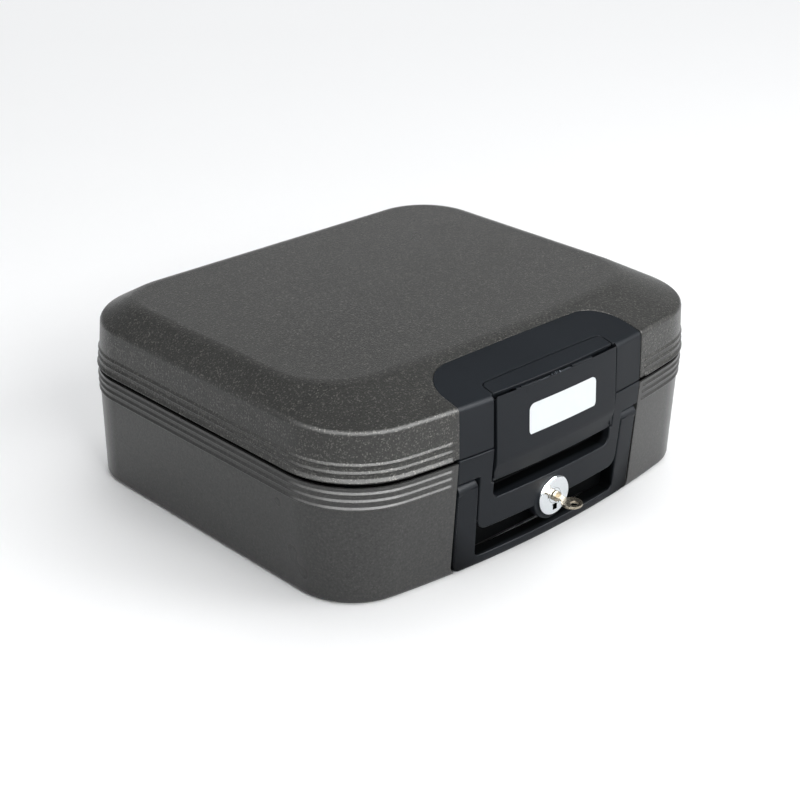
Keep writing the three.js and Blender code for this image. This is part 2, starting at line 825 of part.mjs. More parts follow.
// The lid's tongue presses the seal all round
function makeLidLiner() {
  const flange = lidBody(shellWall + clearance, lidRimZ)
    .intersect(middleBox(far, -far, far, lidRimZ - 1, lidRimZ + flangeThickness));
  const hollow = loft([
    ring(lidRimZ - linerWall, cavity, seamZ),
    ring(lidRimZ, cavity, seamZ),
    ring(cavityRoofZ, deeper(cavity, cavityDraft), seamZ),
  ]);
  const tongueInset = deeper(gasketInset, 1.5);
  const tongue = band(tongueInset, gasketWidth - 3, flangeTopZ + gasketRise + clearance, lidRimZ + 1);
  return flange.add(lidTub(0)).subtract(hollow).add(tongue);
}

function makeLidInsulation() {
  return lidBody(shellWall + clearance, lidRimZ + flangeThickness + clearance)
    .subtract(lidTub(clearance))
    .subtract(screwBosses(true, clearance));
}

// Everything inside an upright surface that follows the fold's outline at a depth
function behindFold(inset) {
  return loft([ring(-far, inset, foldZ), ring(far, inset, foldZ)]);
}

function capOutline(grow) {
  return column(capHalf + grow, capBackY + grow, capCornerRadius + grow)
    .intersect(behindFold(capFrontDepth - grow));
}

function makeLatchCap() {
  return capOutline(0)
    .intersect(lidSolid(bezelSink, lidRimZ))
    .subtract(lidSolid(bezelSink + capThickness, lidRimZ - 1));
}

// Bezel: a skin over the lid's front with a well for the latch, its pivot lugs and the cap's seat
function makeLidBezel() {
  const outline = column(bezelHalf - clearance, bezelBackY - clearance, bezelCornerRadius - clearance);
  const skin = lidSolid(bezelSink, lidRimZ).intersect(outline);
  const innerSkin = lidSolid(bezelBackDepth, lidRimZ - 1);
  const wellBlock = middleBox(wellHalf + wellWall, -far, wellBackY + wellWall, lidRimZ, wellRoofZ + wellWall)
    .intersect(lidSolid(bezelSink, lidRimZ));
  const opening = middleBox(wellHalf, -far, wellBackY, -far, wellRoofZ);
  const groove = middleBox(wellHalf, -far, 0, -far, far).subtract(behindFold(capFrontDepth - clearance));
  const capSeat = capOutline(clearance)
    .subtract(lidSolid(bezelSink + capThickness + clearance, lidRimZ - 1));
  const underCap = middleBox(capHalf + clearance, -far, latchPivotY, wellRoofZ, far);
  let bezel = skin.subtract(innerSkin).add(wellBlock).subtract(opening);
  for (const side of [-1, 1]) {
    const near = side * (latchEyeOuter + clearance);
    const away = side * (latchEyeOuter + clearance + latchLugWidth);
    const [x0, x1] = [Math.min(near, away), Math.max(near, away)];
    const lug = box(x0, x1, latchPivotY, wellBackY + wellWall / 2, latchPivotZ - latchEyeRadius,
      wellRoofZ + wellWall).add(rodX(latchEyeRadius - clearance, x0, x1, latchPivotY, latchPivotZ));
    bezel = bezel.add(lug);
  }
  const pinHole = latchEyeOuter + latchLugWidth + 1;
  return bezel
    .subtract(groove)
    .subtract(capSeat)
    .subtract(underCap)
    .subtract(rodX(latchPinRadius + clearance, -pinHole, pinHole, latchPivotY, latchPivotZ));
}

// Latch flap: its side view, then the hook for the strike and the keeper for the lock's cam
const latchBow = seamBow;
const latchTopY = crownY + latchTopDepth;
const latchFaceY = crownY - latchProud;
const latchLipY = crownY + latchLipDepth;

function makeLatch() {
  const profile = [
    [latchTopY, latchTopZ],
    [latchTopY + latchSkin, latchTopZ - latchSkin - 1],
    [latchFaceY + latchSkin, seamZ],
    [latchFaceY + latchSkin, latchCreaseZ],
    [latchLipY + latchSkin, latchLowZ + 0.6],
    [latchLipY, latchLowZ],
    [latchFaceY, latchCreaseZ],
    [latchFaceY, seamZ],
  ];
  const innerY = latchFaceY + latchSkin - 1;
  const returnBackY = crownY + latchReturnDepth;
  let latch = bowed(profile, latchHalf, latchBow);
  for (const side of [-1, 1]) {
    const outer = side * latchHalf;
    const inner = side * (latchHalf - latchReturnWall);
    latch = latch.add(box(Math.min(outer, inner), Math.max(outer, inner), latchFaceY + 1.5 * latchSkin,
      returnBackY + latchReturnWall, latchLowZ + 3, latchTopZ - latchSkin - 1));
    const eyeFrom = Math.min(side * latchEyeInner, side * latchEyeOuter);
    const eyeTo = Math.max(side * latchEyeInner, side * latchEyeOuter);
    latch = latch
      .add(rodX(latchEyeRadius, eyeFrom, eyeTo, latchPivotY, latchPivotZ))
      .add(box(eyeFrom, eyeTo, innerY, latchPivotY, latchPivotZ - latchPinRadius, latchPivotZ + latchPinRadius));
  }
  const hookTopZ = strikeLipZ - clearance;
  const keeperTopZ = keeperLowZ + keeperHeight;
  const pinHole = latchEyeOuter + 1;
  return latch
    .add(middleBox(hookHalf, innerY, crownY + hookDepth, hookTopZ - hookHeight, hookTopZ))
    .add(middleBox(keeperHalf, latchLipY + latchSkin / 2, keeperHookY + keeperThickness, keeperLowZ, keeperTopZ))
    .add(middleBox(keeperHalf, keeperHookY, keeperHookY + keeperThickness, keeperLowZ - keeperDrop, keeperTopZ))
    .subtract(rodX(latchPinRadius + clearance, -pinHole, pinHole, latchPivotY, latchPivotZ))
    .subtract(labelSheet(clearance));
}

// Label: a thin sheet that lies in a shallow seat of the latch's face
function labelSheet(grow) {
  const seat = labelThickness + grow / 2;
  const proud = labelThickness / 4 + (grow > 0 ? 1 : 0);
  const layer = [
    [latchTopY - proud, latchTopZ],
    [latchTopY - proud + seat + (grow > 0 ? 1 : 0), latchTopZ],
    [latchFaceY - proud + seat + (grow > 0 ? 1 : 0), seamZ],
    [latchFaceY - proud, seamZ],
  ];
  const halfHeight = labelHeight / 2 + grow;
  const halfWidth = labelWidth / 2 + grow;
  return bowed(layer, latchHalf, latchBow).intersect(slab(labelCentreX - halfWidth, labelCentreX + halfWidth,
    labelCentreZ - halfHeight, labelCentreZ + halfHeight, -far, 0, labelCornerRadius + grow));
}

function makeLatchPin() {
  const half = latchEyeOuter + latchLugWidth;
  return rodX(latchPinRadius, -half, half, latchPivotY, latchPivotZ);
}

// Latch spring: one unbroken wire, with a leg behind the latch's top edge and one at the well's back
class SpringPath extends THREE.Curve {
  getPoint(t) {
    const half = (springTurns * springPitch) / 2;
    const legShare = 0.06;
    const coilT = THREE.MathUtils.clamp((t - legShare) / (1 - 2 * legShare), 0, 1);
    const angle = 2 * Math.PI * springTurns * coilT;
    const point = new THREE.Vector3(
      -half + 2 * half * coilT,
      -springCoilRadius * Math.cos(angle),
      -springCoilRadius * Math.sin(angle),
    );
    if (t < legShare) {
      point.z += springFrontLeg * (1 - t / legShare);
    }
    if (t > 1 - legShare) {
      point.z += springRearLeg * ((t - 1 + legShare) / legShare);
    }
    return point;
  }
}

function makeLatchSpring() {
  const path = new SpringPath();
  const wire = new THREE.Shape().absarc(0, 0, springWireRadius, 0, 2 * Math.PI, false);
  const geometry = new THREE.ExtrudeGeometry(wire, {
    steps: springTurns * 10, curveSegments: 3, bevelEnabled: false, extrudePath: path,
  });
  geometry.translate(0, latchPivotY, latchPivotZ);
  return solid(geometry);
}

// Hinges, drawn round their own axis
function makeHingeLeaf(lid) {
  const half = hingeWidth / 2;
  const plateY = rearY + clearance - hingeY;
  const plateBackY = plateY + hingeLeafThickness;
  const farZ = lid ? hingeLidLeafZ - seamZ : hingeBaseLeafZ - seamZ;
  const nearZ = (lid ? 1 : -1) * (hingeKnuckleRadius + 2 * clearance);
  let leaf = box(-half, half, plateY, plateBackY, Math.min(farZ, nearZ), Math.max(farZ, nearZ));
  const pitch = hingeWidth / hingeKnuckles;
  for (let i = lid ? 1 : 0; i < hingeKnuckles; i += 2) {
    const x0 = -half + i * pitch + clearance / 2;
    const x1 = x0 + pitch - clearance;
    leaf = leaf
      .add(box(x0, x1, plateY, plateBackY, Math.min(2 * nearZ, 0), Math.max(2 * nearZ, 0)))
      .add(rodX(hingeKnuckleRadius, x0, x1, 0, 0));
  }
  leaf = leaf.subtract(rodX(hingePinRadius + clearance, -half - 1, half + 1, 0, 0));
  const screwZ = lid ? hingeScrewRise : -hingeScrewDrop;
  for (const x of [-hingeScrewX, hingeScrewX]) {
    const hole = largeScrew.radius + screwHoleGap;
    leaf = leaf.subtract(rodY(hole, plateY - 1, plateBackY + 1, x, screwZ, undefined, 10));
  }
  return leaf;
}

function makeHingePin() {
  const half = hingeWidth / 2;
  const headX = half + clearance;
  return rodX(hingePinRadius, -half, headX + 1, 0, 0)
    .add(rodX(hingePinHeadRadius, headX, headX + hingePinHeadThickness, 0, 0));
}

// The chest, with a group for each part that moves
const chest = new THREE.Group();
const base = new THREE.Group();
const lid = new THREE.Group();
const latchGroup = new THREE.Group();
const handleGroup = new THREE.Group();
const lock = new THREE.Group();
chest.add(base, lid, handleGroup, lock);
lid.add(latchGroup);

base.add(
  piece('base_shell', makeBaseShell(), graphite()),
  piece('base_insulation', makeBaseInsulation(), filling()),
  piece('base_liner', makeBaseLiner(), grayPlastic()),
  piece('seal_gasket', makeGasket(), sealRubber()),
  piece('front_panel', makeFrontPanel(), blackPlastic()),
  piece('strike_plate', makeStrike(), brightSteel()),
  piece('lock_housing', makeLockHousing(), chrome()),
  piece('lock_nut', makeLockNut(), brightSteel()),
);
[-strikeScrewX, strikeScrewX].forEach((x, i) => {
  const place = [x, strikeFrontY - clearance, strikeScrewZ];
  base.add(piece(`strike_screw_${i + 1}`, makeScrew(smallScrew, 1), brightSteel(), place));
});
base.add(
  piece('handle_pin_left', makeHandlePin(), brightSteel(),
    [-panelHalf - shellWall + clearance, handlePivotY, handlePivotZ]),
  piece('handle_pin_right', makeHandlePin(), brightSteel(), [handlePinInner, handlePivotY, handlePivotZ]),
);

lid.add(
  piece('lid_shell', makeLidShell(), graphite()),
  piece('lid_insulation', makeLidInsulation(), filling()),
  piece('lid_liner', makeLidLiner(), grayPlastic()),
  piece('lid_bezel', makeLidBezel(), blackPlastic()),
  piece('latch_cap', makeLatchCap(), blackPlastic()),
  piece('latch_pin', makeLatchPin(), brightSteel()),
  piece('latch_spring', makeLatchSpring(), brightSteel()),
);
latchGroup.add(
  piece('latch', makeLatch(), blackPlastic()),
  piece('latch_label', labelSheet(0), labelWhite()),
);
handleGroup.add(piece('handle', makeHandle(), blackPlastic()));
lock.add(
  piece('lock_plug', makeLockPlug(), chrome()),
  piece('lock_cam', makeLockCam(), brightSteel()),
  piece('cam_screw', makeCamScrew(), brightSteel()),
  piece('key', makeKey(), nickel()),
);

[['left', -hingeX], ['right', hingeX]].forEach(([side, x]) => {
  const place = [x, hingeY, seamZ];
  base.add(
    piece(`hinge_base_leaf_${side}`, makeHingeLeaf(false), brightSteel(), place),
    piece(`hinge_pin_${side}`, makeHingePin(), brightSteel(), place),
  );
  lid.add(piece(`hinge_lid_leaf_${side}`, makeHingeLeaf(true), brightSteel(), place));
});
hingeScrews.forEach((screw, i) => {
  const headY = rearY + 2 * clearance + hingeLeafThickness;
  const owner = screw.lid ? lid : base;
  owner.add(piece(`hinge_screw_${i + 1}`, makeScrew(largeScrew, -1), brightSteel(), [screw.x, headY, screw.z]));
});

export default chest;
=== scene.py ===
import math

import bmesh
import bpy
from mathutils import Matrix, Vector


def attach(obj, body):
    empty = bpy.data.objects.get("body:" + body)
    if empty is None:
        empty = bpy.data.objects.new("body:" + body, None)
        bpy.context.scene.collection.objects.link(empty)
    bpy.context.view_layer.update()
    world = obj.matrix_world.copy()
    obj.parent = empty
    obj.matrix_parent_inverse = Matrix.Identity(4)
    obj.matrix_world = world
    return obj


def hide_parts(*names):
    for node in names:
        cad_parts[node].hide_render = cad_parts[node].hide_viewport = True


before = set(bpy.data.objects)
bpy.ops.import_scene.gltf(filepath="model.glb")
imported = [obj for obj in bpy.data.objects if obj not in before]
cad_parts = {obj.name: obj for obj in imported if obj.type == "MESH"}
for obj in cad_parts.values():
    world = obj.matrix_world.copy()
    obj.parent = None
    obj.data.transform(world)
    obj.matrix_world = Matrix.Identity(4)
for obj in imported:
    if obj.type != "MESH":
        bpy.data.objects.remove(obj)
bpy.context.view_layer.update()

# Sizes in millimetres, with +Z up and the front towards -Y
MM = 0.001
WIDTH = 390
DEPTH = 341
HEIGHT = 150
CROWN_Y = -DEPTH / 2
REAR_Y = DEPTH / 2
SEAM_Z = 96.5
BASE_RIM_Z = 95.5
LID_RIM_Z = 97.5
FOLD_Z = 136
FAR = 400
CLEARANCE = 0.3
TOUCH = 0.01

LEVELS = (
    {"z": 0, "side": 5.7, "front": 7.3, "back": 0, "front_radius": 50, "back_radius": 47, "bow": 876},
    {"z": SEAM_Z, "side": 0, "front": 0, "back": 0, "front_radius": 65, "back_radius": 58, "bow": 885},
    {"z": FOLD_Z, "side": 2, "front": 1.2, "back": 2, "front_radius": 63, "back_radius": 60, "bow": 884},
    {"z": HEIGHT, "side": 25, "front": 59, "back": 25, "front_radius": 52, "back_radius": 46, "bow": 1314},
)
SMALLEST_RADIUS = 6
CORNER_STEPS = 14
FRONT_X = (8, 17, 26, 35, 44, 53, 62, 71, 80, 89, 96, 101, 102.8, 103.3, 103.9, 104.6, 105.4, 107)
FRONT_END_SHARES = (0.25, 0.5, 0.75, 1)
REAR_SHARES = (1, 0.99, 0.985, 0.98, 0.975, 0.97, 0.965, 0.9, 0.77, 0.64, 0.572, 0.566, 0.56, 0.554,
               0.548, 0.5, 0.35, 0.17)
FRONT_STEPS = 30

SHELL_WALL = 3
LINER_WALL = 2
BOTTOM_ROUND = 4
BOTTOM_STEPS = 4
BASE_RIBS = (78.2, 84.2, 90)
BASE_RIB_PROUD = 1.2
LID_RIBS = (105.8, 111.7)
LID_RIB_PROUD = 1
RIB = ((-1.45, 0), (-1.35, 0.33), (-1.2, 0.64), (-0.95, 0.9), (-0.6, 1), (-0.3, 0.95), (0.1, 0.79),
       (0.6, 0.49), (1.1, 0.2), (1.4, 0.06), (1.7, 0))
LIP = ((97.5, 0.3), (97.9, 0.8), (98.25, 1.22), (98.55, 1.42), (98.85, 1.47), (99.1, 1.41), (99.4, 1.26),
       (99.8, 1.03), (100.2, 0.79), (100.6, 0.55), (101, 0.31), (101.4, 0.12), (101.7, 0.04), (102, 0))
RIM_TURN = ((1.75, 0), (1.55, 0.06), (1.4, 0.25), (1.35, 0.5), (1.35, 1.5), (0, 1.5))
PANEL_HALF = 98
RIB_END_GAP = 5
RIB_END_LENGTH = 2.5
HINGE_X = 105
HINGE_HALF_WIDTH = 25
HINGE_RIB_GAP = 2


def level_at(z):
    """The outline's sizes at a height, straight-lined between the named levels."""
    upper = 1
    while upper < len(LEVELS) - 1 and z > LEVELS[upper]["z"]:
        upper += 1
    low, high = LEVELS[upper - 1], LEVELS[upper]
    share = (z - low["z"]) / (high["z"] - low["z"])
    return {key: low[key] + share * (high[key] - low[key]) for key in low}


def rib_share(x, y):
    """1 where ribs run, falling in a rounded end to 0 beside the black front parts and the hinges."""
    if y < 0:
        gap = abs(x) - PANEL_HALF - RIB_END_GAP
    else:
        gap = abs(abs(x) - HINGE_X) - HINGE_HALF_WIDTH - HINGE_RIB_GAP
    part = min(max(gap / RIB_END_LENGTH, 0), 1)
    return math.sqrt(1 - (1 - part) ** 2)


def outline(z, inset=0.0, shape_z=None, lift=0.0):
    """Points round the chest at height z, moved inward by inset, and outward by lift where ribs run."""
    level = level_at(z if shape_z is None else shape_z)
    side, front, back = inset if isinstance(inset, tuple) else (inset, inset, inset)
    half = WIDTH / 2 - level["side"] - side
    rear = REAR_Y - level["back"] - back
    bow = level["bow"] - front
    bow_y = CROWN_Y + level["front"] + front + bow
    front_radius = max(level["front_radius"] - side, SMALLEST_RADIUS)
    back_radius = max(level["back_radius"] - side, SMALLEST_RADIUS)
    reach = half - front_radius
    lean = math.asin(reach / (bow - front_radius))
    corner_y = bow_y - (bow - front_radius) * math.cos(lean)
    straight = half - back_radius
    points = []

    def add(x, y, out_x, out_y):
        rise = lift * rib_share(x, y) if lift else 0
        points.append((x + rise * out_x, y + rise * out_y, z))

    def add_arc(centre_x, centre_y, radius, angles):
        for angle in angles:
            out_x, out_y = math.sin(angle), -math.cos(angle)
            add(centre_x + radius * out_x, centre_y + radius * out_y, out_x, out_y)

    def steps(start, end, first=0):
        return [start + (end - start) * i / CORNER_STEPS for i in range(first, CORNER_STEPS + 1)]

    right = [math.asin(x / bow) for x in FRONT_X]
    right += [right[-1] + (lean - right[-1]) * share for share in FRONT_END_SHARES]
    turn = math.pi / 2
    add_arc(0, bow_y, bow, [-angle for angle in reversed(right)] + [0] + right)
    add_arc(reach, corner_y, front_radius, steps(lean, turn, 1))
    add_arc(straight, rear - back_radius, back_radius, steps(turn, 2 * turn)[:-1])
    for share in REAR_SHARES + (0,) + tuple(-share for share in reversed(REAR_SHARES)):
        add(share * straight, rear, 0, 1)
    add_arc(-straight, rear - back_radius, back_radius, steps(2 * turn, 3 * turn, 1))
    add_arc(-reach, corner_y, front_radius, steps(3 * turn, 4 * turn - lean)[:-1])
    return points


# Mesh making
def loft(rings, closed=False):
    """A skin bridged through rings of points; an open stack is closed by a face at each end."""
    bm = bmesh.new()
    loops = []
    for ring in rings:
        verts = [bm.verts.new(point) for point in ring]
        loops.append([bm.edges.new((verts[i - 1], verts[i])) for i in range(len(verts))])
    following = loops[1:] + loops[:1] if closed else loops[1:]
    for low, high in zip(loops, following):
        bmesh.ops.bridge_loops(bm, edges=low + high)
    if not closed:
        for loop in (loops[0], loops[-1]):
            bmesh.ops.contextual_create(bm, geom=loop)
    bmesh.ops.recalc_face_normals(bm, faces=bm.faces)
    return bm


def block(x0, x1, y0, y1, z0, z1):
    bm = bmesh.new()
    bmesh.ops.create_cube(bm, size=1)
    bmesh.ops.scale(bm, vec=(x1 - x0, y1 - y0, z1 - z0), verts=bm.verts)
    bmesh.ops.translate(bm, vec=((x0 + x1) / 2, (y0 + y1) / 2, (z0 + z1) / 2), verts=bm.verts)
    return bm


def middle_block(half, y0, y1, z0, z1):
    return block(-half, half, y0, y1, z0, z1)


def rod(axis, radius, start, end, centre, end_radius=None, sides=64):
    """A round bar along X, Y or Z; centre gives its other two places, in the order of the axes."""
    bm = bmesh.new()
    bmesh.ops.create_cone(bm, cap_ends=True, segments=sides, radius1=radius,
                          radius2=radius if end_radius is None else end_radius, depth=end - start)
    bmesh.ops.translate(bm, vec=(0, 0, (start + end) / 2), verts=bm.verts)
    first, second = centre
    if axis == "X":
        turn = Matrix(((0, 0, 1), (1, 0, 0), (0, 1, 0)))
        place = (0, first, second)
    elif axis == "Y":
        turn = Matrix(((0, 1, 0), (0, 0, 1), (1, 0, 0)))
        place = (first, 0, second)
    else:
        turn = Matrix.Identity(3)
        place = (first, second, 0)
    bmesh.ops.rotate(bm, matrix=turn, verts=bm.verts)
    bmesh.ops.translate(bm, vec=place, verts=bm.verts)
    return bm


def round_edges(bm, radius, chosen, segments=4):
    """Rounds the edges for which chosen(edge) is true."""
    edges = [edge for edge in bm.edges if chosen(edge)]
    if edges:
        bmesh.ops.bevel(bm, geom=edges, offset=radius, offset_type="OFFSET", segments=segments,
                        profile=0.5, affect="EDGES", material=-1)
    return bm


def along(edge, axis):
    """True if an edge runs along an axis, 0 for X, 1 for Y and 2 for Z."""
    direction = (edge.verts[1].co - edge.verts[0].co).normalized()
    return abs(direction[axis]) > 0.99


def middle(edge):
    return (edge.verts[0].co + edge.verts[1].co) / 2


def plate(x0, x1, z0, z1, y0, y1, low_radius, high_radius, segments=8):
    """A rounded rectangle seen from the front, from y0 back to y1."""
    bm = block(x0, x1, y0, y1, z0, z1)
    half_z = (z0 + z1) / 2
    if low_radius > 0:
        round_edges(bm, low_radius, lambda e: along(e, 1) and middle(e).z < half_z, segments)
    if high_radius > 0:
        round_edges(bm, high_radius,
                    lambda e: along(e, 1) and abs(middle(e).z - z1) < TOUCH
                    and min(abs(middle(e).x - x) for x in (x0, x1)) < TOUCH, segments)
    return bm


def drawn_in(bm):
    """Narrows a form below the shoulders, where the handle's arms grow wider."""
    everything = bm.verts[:] + bm.edges[:] + bm.faces[:]
    bmesh.ops.bisect_plane(bm, geom=everything, plane_co=(0, 0, SHOULDER_Z), plane_no=(0, 0, 1))
    for vert in bm.verts:
        vert.co.x *= 1 - ARM_SPREAD * max(SHOULDER_Z - vert.co.z, 0) / SHOULDER_Z
    return bm


def column(half, back_y, radius, segments=16):
    """A rounded rectangle seen from above, open towards the front and through every height."""
    bm = block(-half, half, -FAR, back_y, -FAR, FAR)
    return round_edges(bm, radius, lambda e: along(e, 2) and middle(e).y > back_y - 1, segments)


def swept(profile, half, bow):
    """A side view swept from left to right along the front's bow."""
    rings = []
    for i in range(FRONT_STEPS + 1):
        x = -half + 2 * half * i / FRONT_STEPS
        sag = bow - math.sqrt(bow * bow - x * x)
        rings.append([(x, y + sag, z) for y, z in profile])
    return loft(rings)


def placed(name, data):
    """An object of the scene that holds a mesh, a lamp or a camera."""
    item = bpy.data.objects.new(name, data)
    bpy.context.scene.collection.objects.link(item)
    return item


def meshed(name, bm):
    """A mesh with the form of bm, which is used up."""
    mesh = bpy.data.meshes.new(name)
    bm.to_mesh(mesh)
    bm.free()
    return mesh


def combine(body, tool, operation):
    """Body joined to, cut by or crossed with tool; both are used up."""
    target, other = [placed("loose", meshed("loose", bm)) for bm in (body, tool)]
    change = target.modifiers.new("combine", "BOOLEAN")
    change.operation = operation
    change.solver = "MANIFOLD"
    change.object = other
    result = bmesh.new()
    result.from_object(target, bpy.context.evaluated_depsgraph_get())
    for item in (target, other):
        mesh = item.data
        bpy.data.objects.remove(item)
        bpy.data.meshes.remove(mesh)
    if not result.faces:
        raise RuntimeError("a boolean step left nothing")
    return result


def joined(body, *tools):
    for tool in tools:
        body = combine(body, tool, "UNION")
    return body


def cut(body, *tools):
    for tool in tools:
        body = combine(body, tool, "DIFFERENCE")
    return body


def crossed(body, tool):
    return combine(body, tool, "INTERSECT")


# Casing forms, shared by the shells and by what fits into them
FOLD_ROUND = 3.2
TOP_ROUND = 5
FOLD_DROP = 0.7
TOP_SHIFT = 0.2
BEZEL_HALF = 97.5
BEZEL_BACK_Y = CROWN_Y + 50.5
BEZEL_CORNER_RADIUS = 30
BEZEL_SINK = 0.5
BEZEL_THICKNESS = 3.5
WELL_HALF = 66
WELL_BACK_Y = CROWN_Y + 13
WELL_ROOF_Z = 134.6
WELL_WALL = 2.5
PANEL_POCKET_Y = CROWN_Y + 30.5
HANDLE_PIVOT_Y = CROWN_Y + 12.5
HANDLE_PIVOT_Z = 69
PIN_RADIUS = 2


def horizontal_near(z):
    """Picks the edges that run level at a height."""
    return lambda edge: all(abs(vert.co.z - z) < TOUCH for vert in edge.verts)


def rib_rings(z, proud):
    """Rings over one raised rib, which slopes gently above and falls in steeply below."""
    return [outline(z + offset, lift=lift * proud) for offset, lift in RIB]


def base_form(inset, top_z, ribs=False):
    """Everything inside the base casing's outer surface, less an inset."""
    rounding = max(BOTTOM_ROUND - inset, 1)
    rings = []
    for step in range(BOTTOM_STEPS + 1):
        angle = math.pi / 2 * step / BOTTOM_STEPS
        in_step = rounding * (1 - math.sin(angle))
        up_step = rounding * (1 - math.cos(angle))
        rings.append(outline(inset + up_step, inset + in_step))
    if ribs:
        for z in BASE_RIBS:
            rings += rib_rings(z, BASE_RIB_PROUD)
        rings += [outline(BASE_RIM_Z - drop, turn_in) for drop, turn_in in RIM_TURN]
    else:
        rings.append(outline(min(top_z, BASE_RIM_Z), inset))
    if top_z > BASE_RIM_Z:
        rings.append(outline(top_z, inset, BASE_RIM_Z))
    return loft(rings)


def base_body(inset, top_z):
    return cut(base_form(inset, top_z),
               middle_block(PANEL_HALF + inset, -FAR, PANEL_POCKET_Y + inset, -FAR, FAR))


def lid_form(inset, bottom_z, ribs=False):
    """Everything inside the lid casing's outer surface, less an inset, its fold and top edge rounded."""
    top = TOP_SHIFT * inset
    fold_z = FOLD_Z - FOLD_DROP * inset
    rings = []
    if bottom_z < LID_RIM_Z:
        rings.append(outline(bottom_z, inset, LID_RIM_Z))
    if ribs:
        rings += [outline(z, lift=lift) for z, lift in LIP]
        for z in LID_RIBS:
            rings += rib_rings(z, LID_RIB_PROUD)
    else:
        rings.append(outline(max(bottom_z, LID_RIM_Z), inset))
    rings.append(outline(fold_z, inset, FOLD_Z))
    rings.append(outline(HEIGHT - inset, top, HEIGHT))
    bm = loft(rings)
    round_edges(bm, TOP_ROUND, horizontal_near(HEIGHT - inset), 6)
    round_edges(bm, FOLD_ROUND, horizontal_near(fold_z), 5)
    return bm


def bezel_pocket(inset, bottom_z):
    """The lid's front pocket: shallow under the bezel, deep behind the latch."""
    deep = BEZEL_SINK + BEZEL_THICKNESS + CLEARANCE + inset
    shallow = cut(column(BEZEL_HALF + inset, BEZEL_BACK_Y + inset, BEZEL_CORNER_RADIUS + inset),
                  lid_form(deep, bottom_z - 1))
    wall = WELL_WALL + CLEARANCE + inset
    well = middle_block(WELL_HALF + wall, -FAR, WELL_BACK_Y + wall, -FAR, WELL_ROOF_Z + wall)
    return joined(shallow, well)


def lid_body(inset, bottom_z):
    return cut(lid_form(inset, bottom_z), bezel_pocket(inset, bottom_z))


# Finishing
SMOOTH_ANGLE = 35
SHADING_WEIGHT = 60


def sharp_angle(edge):
    return edge.calc_face_angle(0) if len(edge.link_faces) == 2 else 0


def soften(bm, radius, least_angle=40, where=None, segments=2):
    """Joins stray points, then rounds every edge sharper than an angle."""
    bmesh.ops.remove_doubles(bm, verts=bm.verts, dist=TOUCH)
    bmesh.ops.dissolve_degenerate(bm, edges=bm.edges, dist=TOUCH)
    limit = math.radians(least_angle)
    return round_edges(bm, radius, lambda e: sharp_angle(e) > limit and (where is None or where(e)),
                       segments)


def finished(name, bm, body, material, nodes):
    """The mesh as a piece of the scene, in metres, with flat faces kept flat and rounded ones smooth."""
    bmesh.ops.scale(bm, vec=(MM, MM, MM), verts=bm.verts)
    limit = math.radians(SMOOTH_ANGLE)
    for face in bm.faces:
        face.smooth = True
    for edge in bm.edges:
        edge.smooth = sharp_angle(edge) < limit
    piece = placed(name, meshed(name, bm))
    piece.data.materials.append(material)
    level = piece.modifiers.new("even shading", "WEIGHTED_NORMAL")
    level.keep_sharp = True
    level.weight = SHADING_WEIGHT
    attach(piece, body)
    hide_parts(*nodes)


# Base casing and its black front panel
SCREW_OFFSET = 15
SCREW_HEIGHTS = (78.5, 111.5)
HINGE_SCREWS = [(hinge_x + offset, z, z > SEAM_Z) for hinge_x in (-HINGE_X, HINGE_X)
                for offset in (-SCREW_OFFSET, SCREW_OFFSET) for z in SCREW_HEIGHTS]
SCREW_HOLE_RADIUS = 2.3
SCREW_HOLE_END_Y = REAR_Y - 12
PANEL_WALL = 2.5
PANEL_FLOOR_Z = 9.6
PANEL_NARROW_HALF = 77
PANEL_LOW_CORNER = 3
PANEL_SOFTNESS = 0.9
POCKET_CORNER = 10
POCKET_BELOW = 1
PANEL_TOP_Z = 95.9
BEZEL_LOW_Z = 96.9
SHOULDER_Z = 76.5
ARM_SPREAD = 0.032
RECESS_Y = CROWN_Y + 20.5
LATCH_RECESS_HALF = 65.5
STRIKE_WALL_Y = CROWN_Y + 14.5
STRIKE_WALL_Z = 84.5
SLOT_HALF = 63
SLOT_LOW_Z = 54
SLOT_CORNER = 6
SLOT_HIGH_Z = 68
LOCK_BAR_LOW_Z = 31
LOCK_BAR_CORNER = 9
LOCK_Z = 34.4
LOCK_FACE_Y = CROWN_Y + level_at(LOCK_Z)["front"] - 3.4
LOCK_SEAT_Y = LOCK_FACE_Y + 3.3
LOCK_FACE_RADIUS = 15.75
LOCK_BOSS_RADIUS = 19.5
LOCK_BARREL_RADIUS = 9.5
LOCK_BARREL_END_Y = LOCK_FACE_Y + 21.7
BARREL_HOLE_END_Y = RECESS_Y + 9
PLUG_RADIUS = 6
PIN_HOLE_INNER = 70
PIN_HOLE_OUTER = 102
KEEPER_WINDOW_HALF = 9
KEEPER_WINDOW_LOW_Z = 61
KEEPER_WINDOW_HIGH_Z = 77.5


def pin_holes():
    return [rod("X", PIN_RADIUS + CLEARANCE, start, end, (HANDLE_PIVOT_Y, HANDLE_PIVOT_Z), sides=24)
            for start, end in ((-PIN_HOLE_OUTER, -PIN_HOLE_INNER), (PIN_HOLE_INNER, PIN_HOLE_OUTER))]


def screw_holes(lid):
    return [rod("Y", SCREW_HOLE_RADIUS, SCREW_HOLE_END_Y, FAR, (x, z), sides=20)
            for x, z, in_lid in HINGE_SCREWS if in_lid == lid]


def base_casing():
    pocket = plate(-PANEL_HALF, PANEL_HALF, -POCKET_BELOW, FAR, -FAR, PANEL_POCKET_Y, POCKET_CORNER, 0,
                   segments=10)
    shell = cut(base_form(0, BASE_RIM_Z, ribs=True), pocket,
                base_body(SHELL_WALL, BASE_RIM_Z + SHELL_WALL))
    soften(shell, 0.5, 65)
    return cut(shell, *screw_holes(False), *pin_holes())


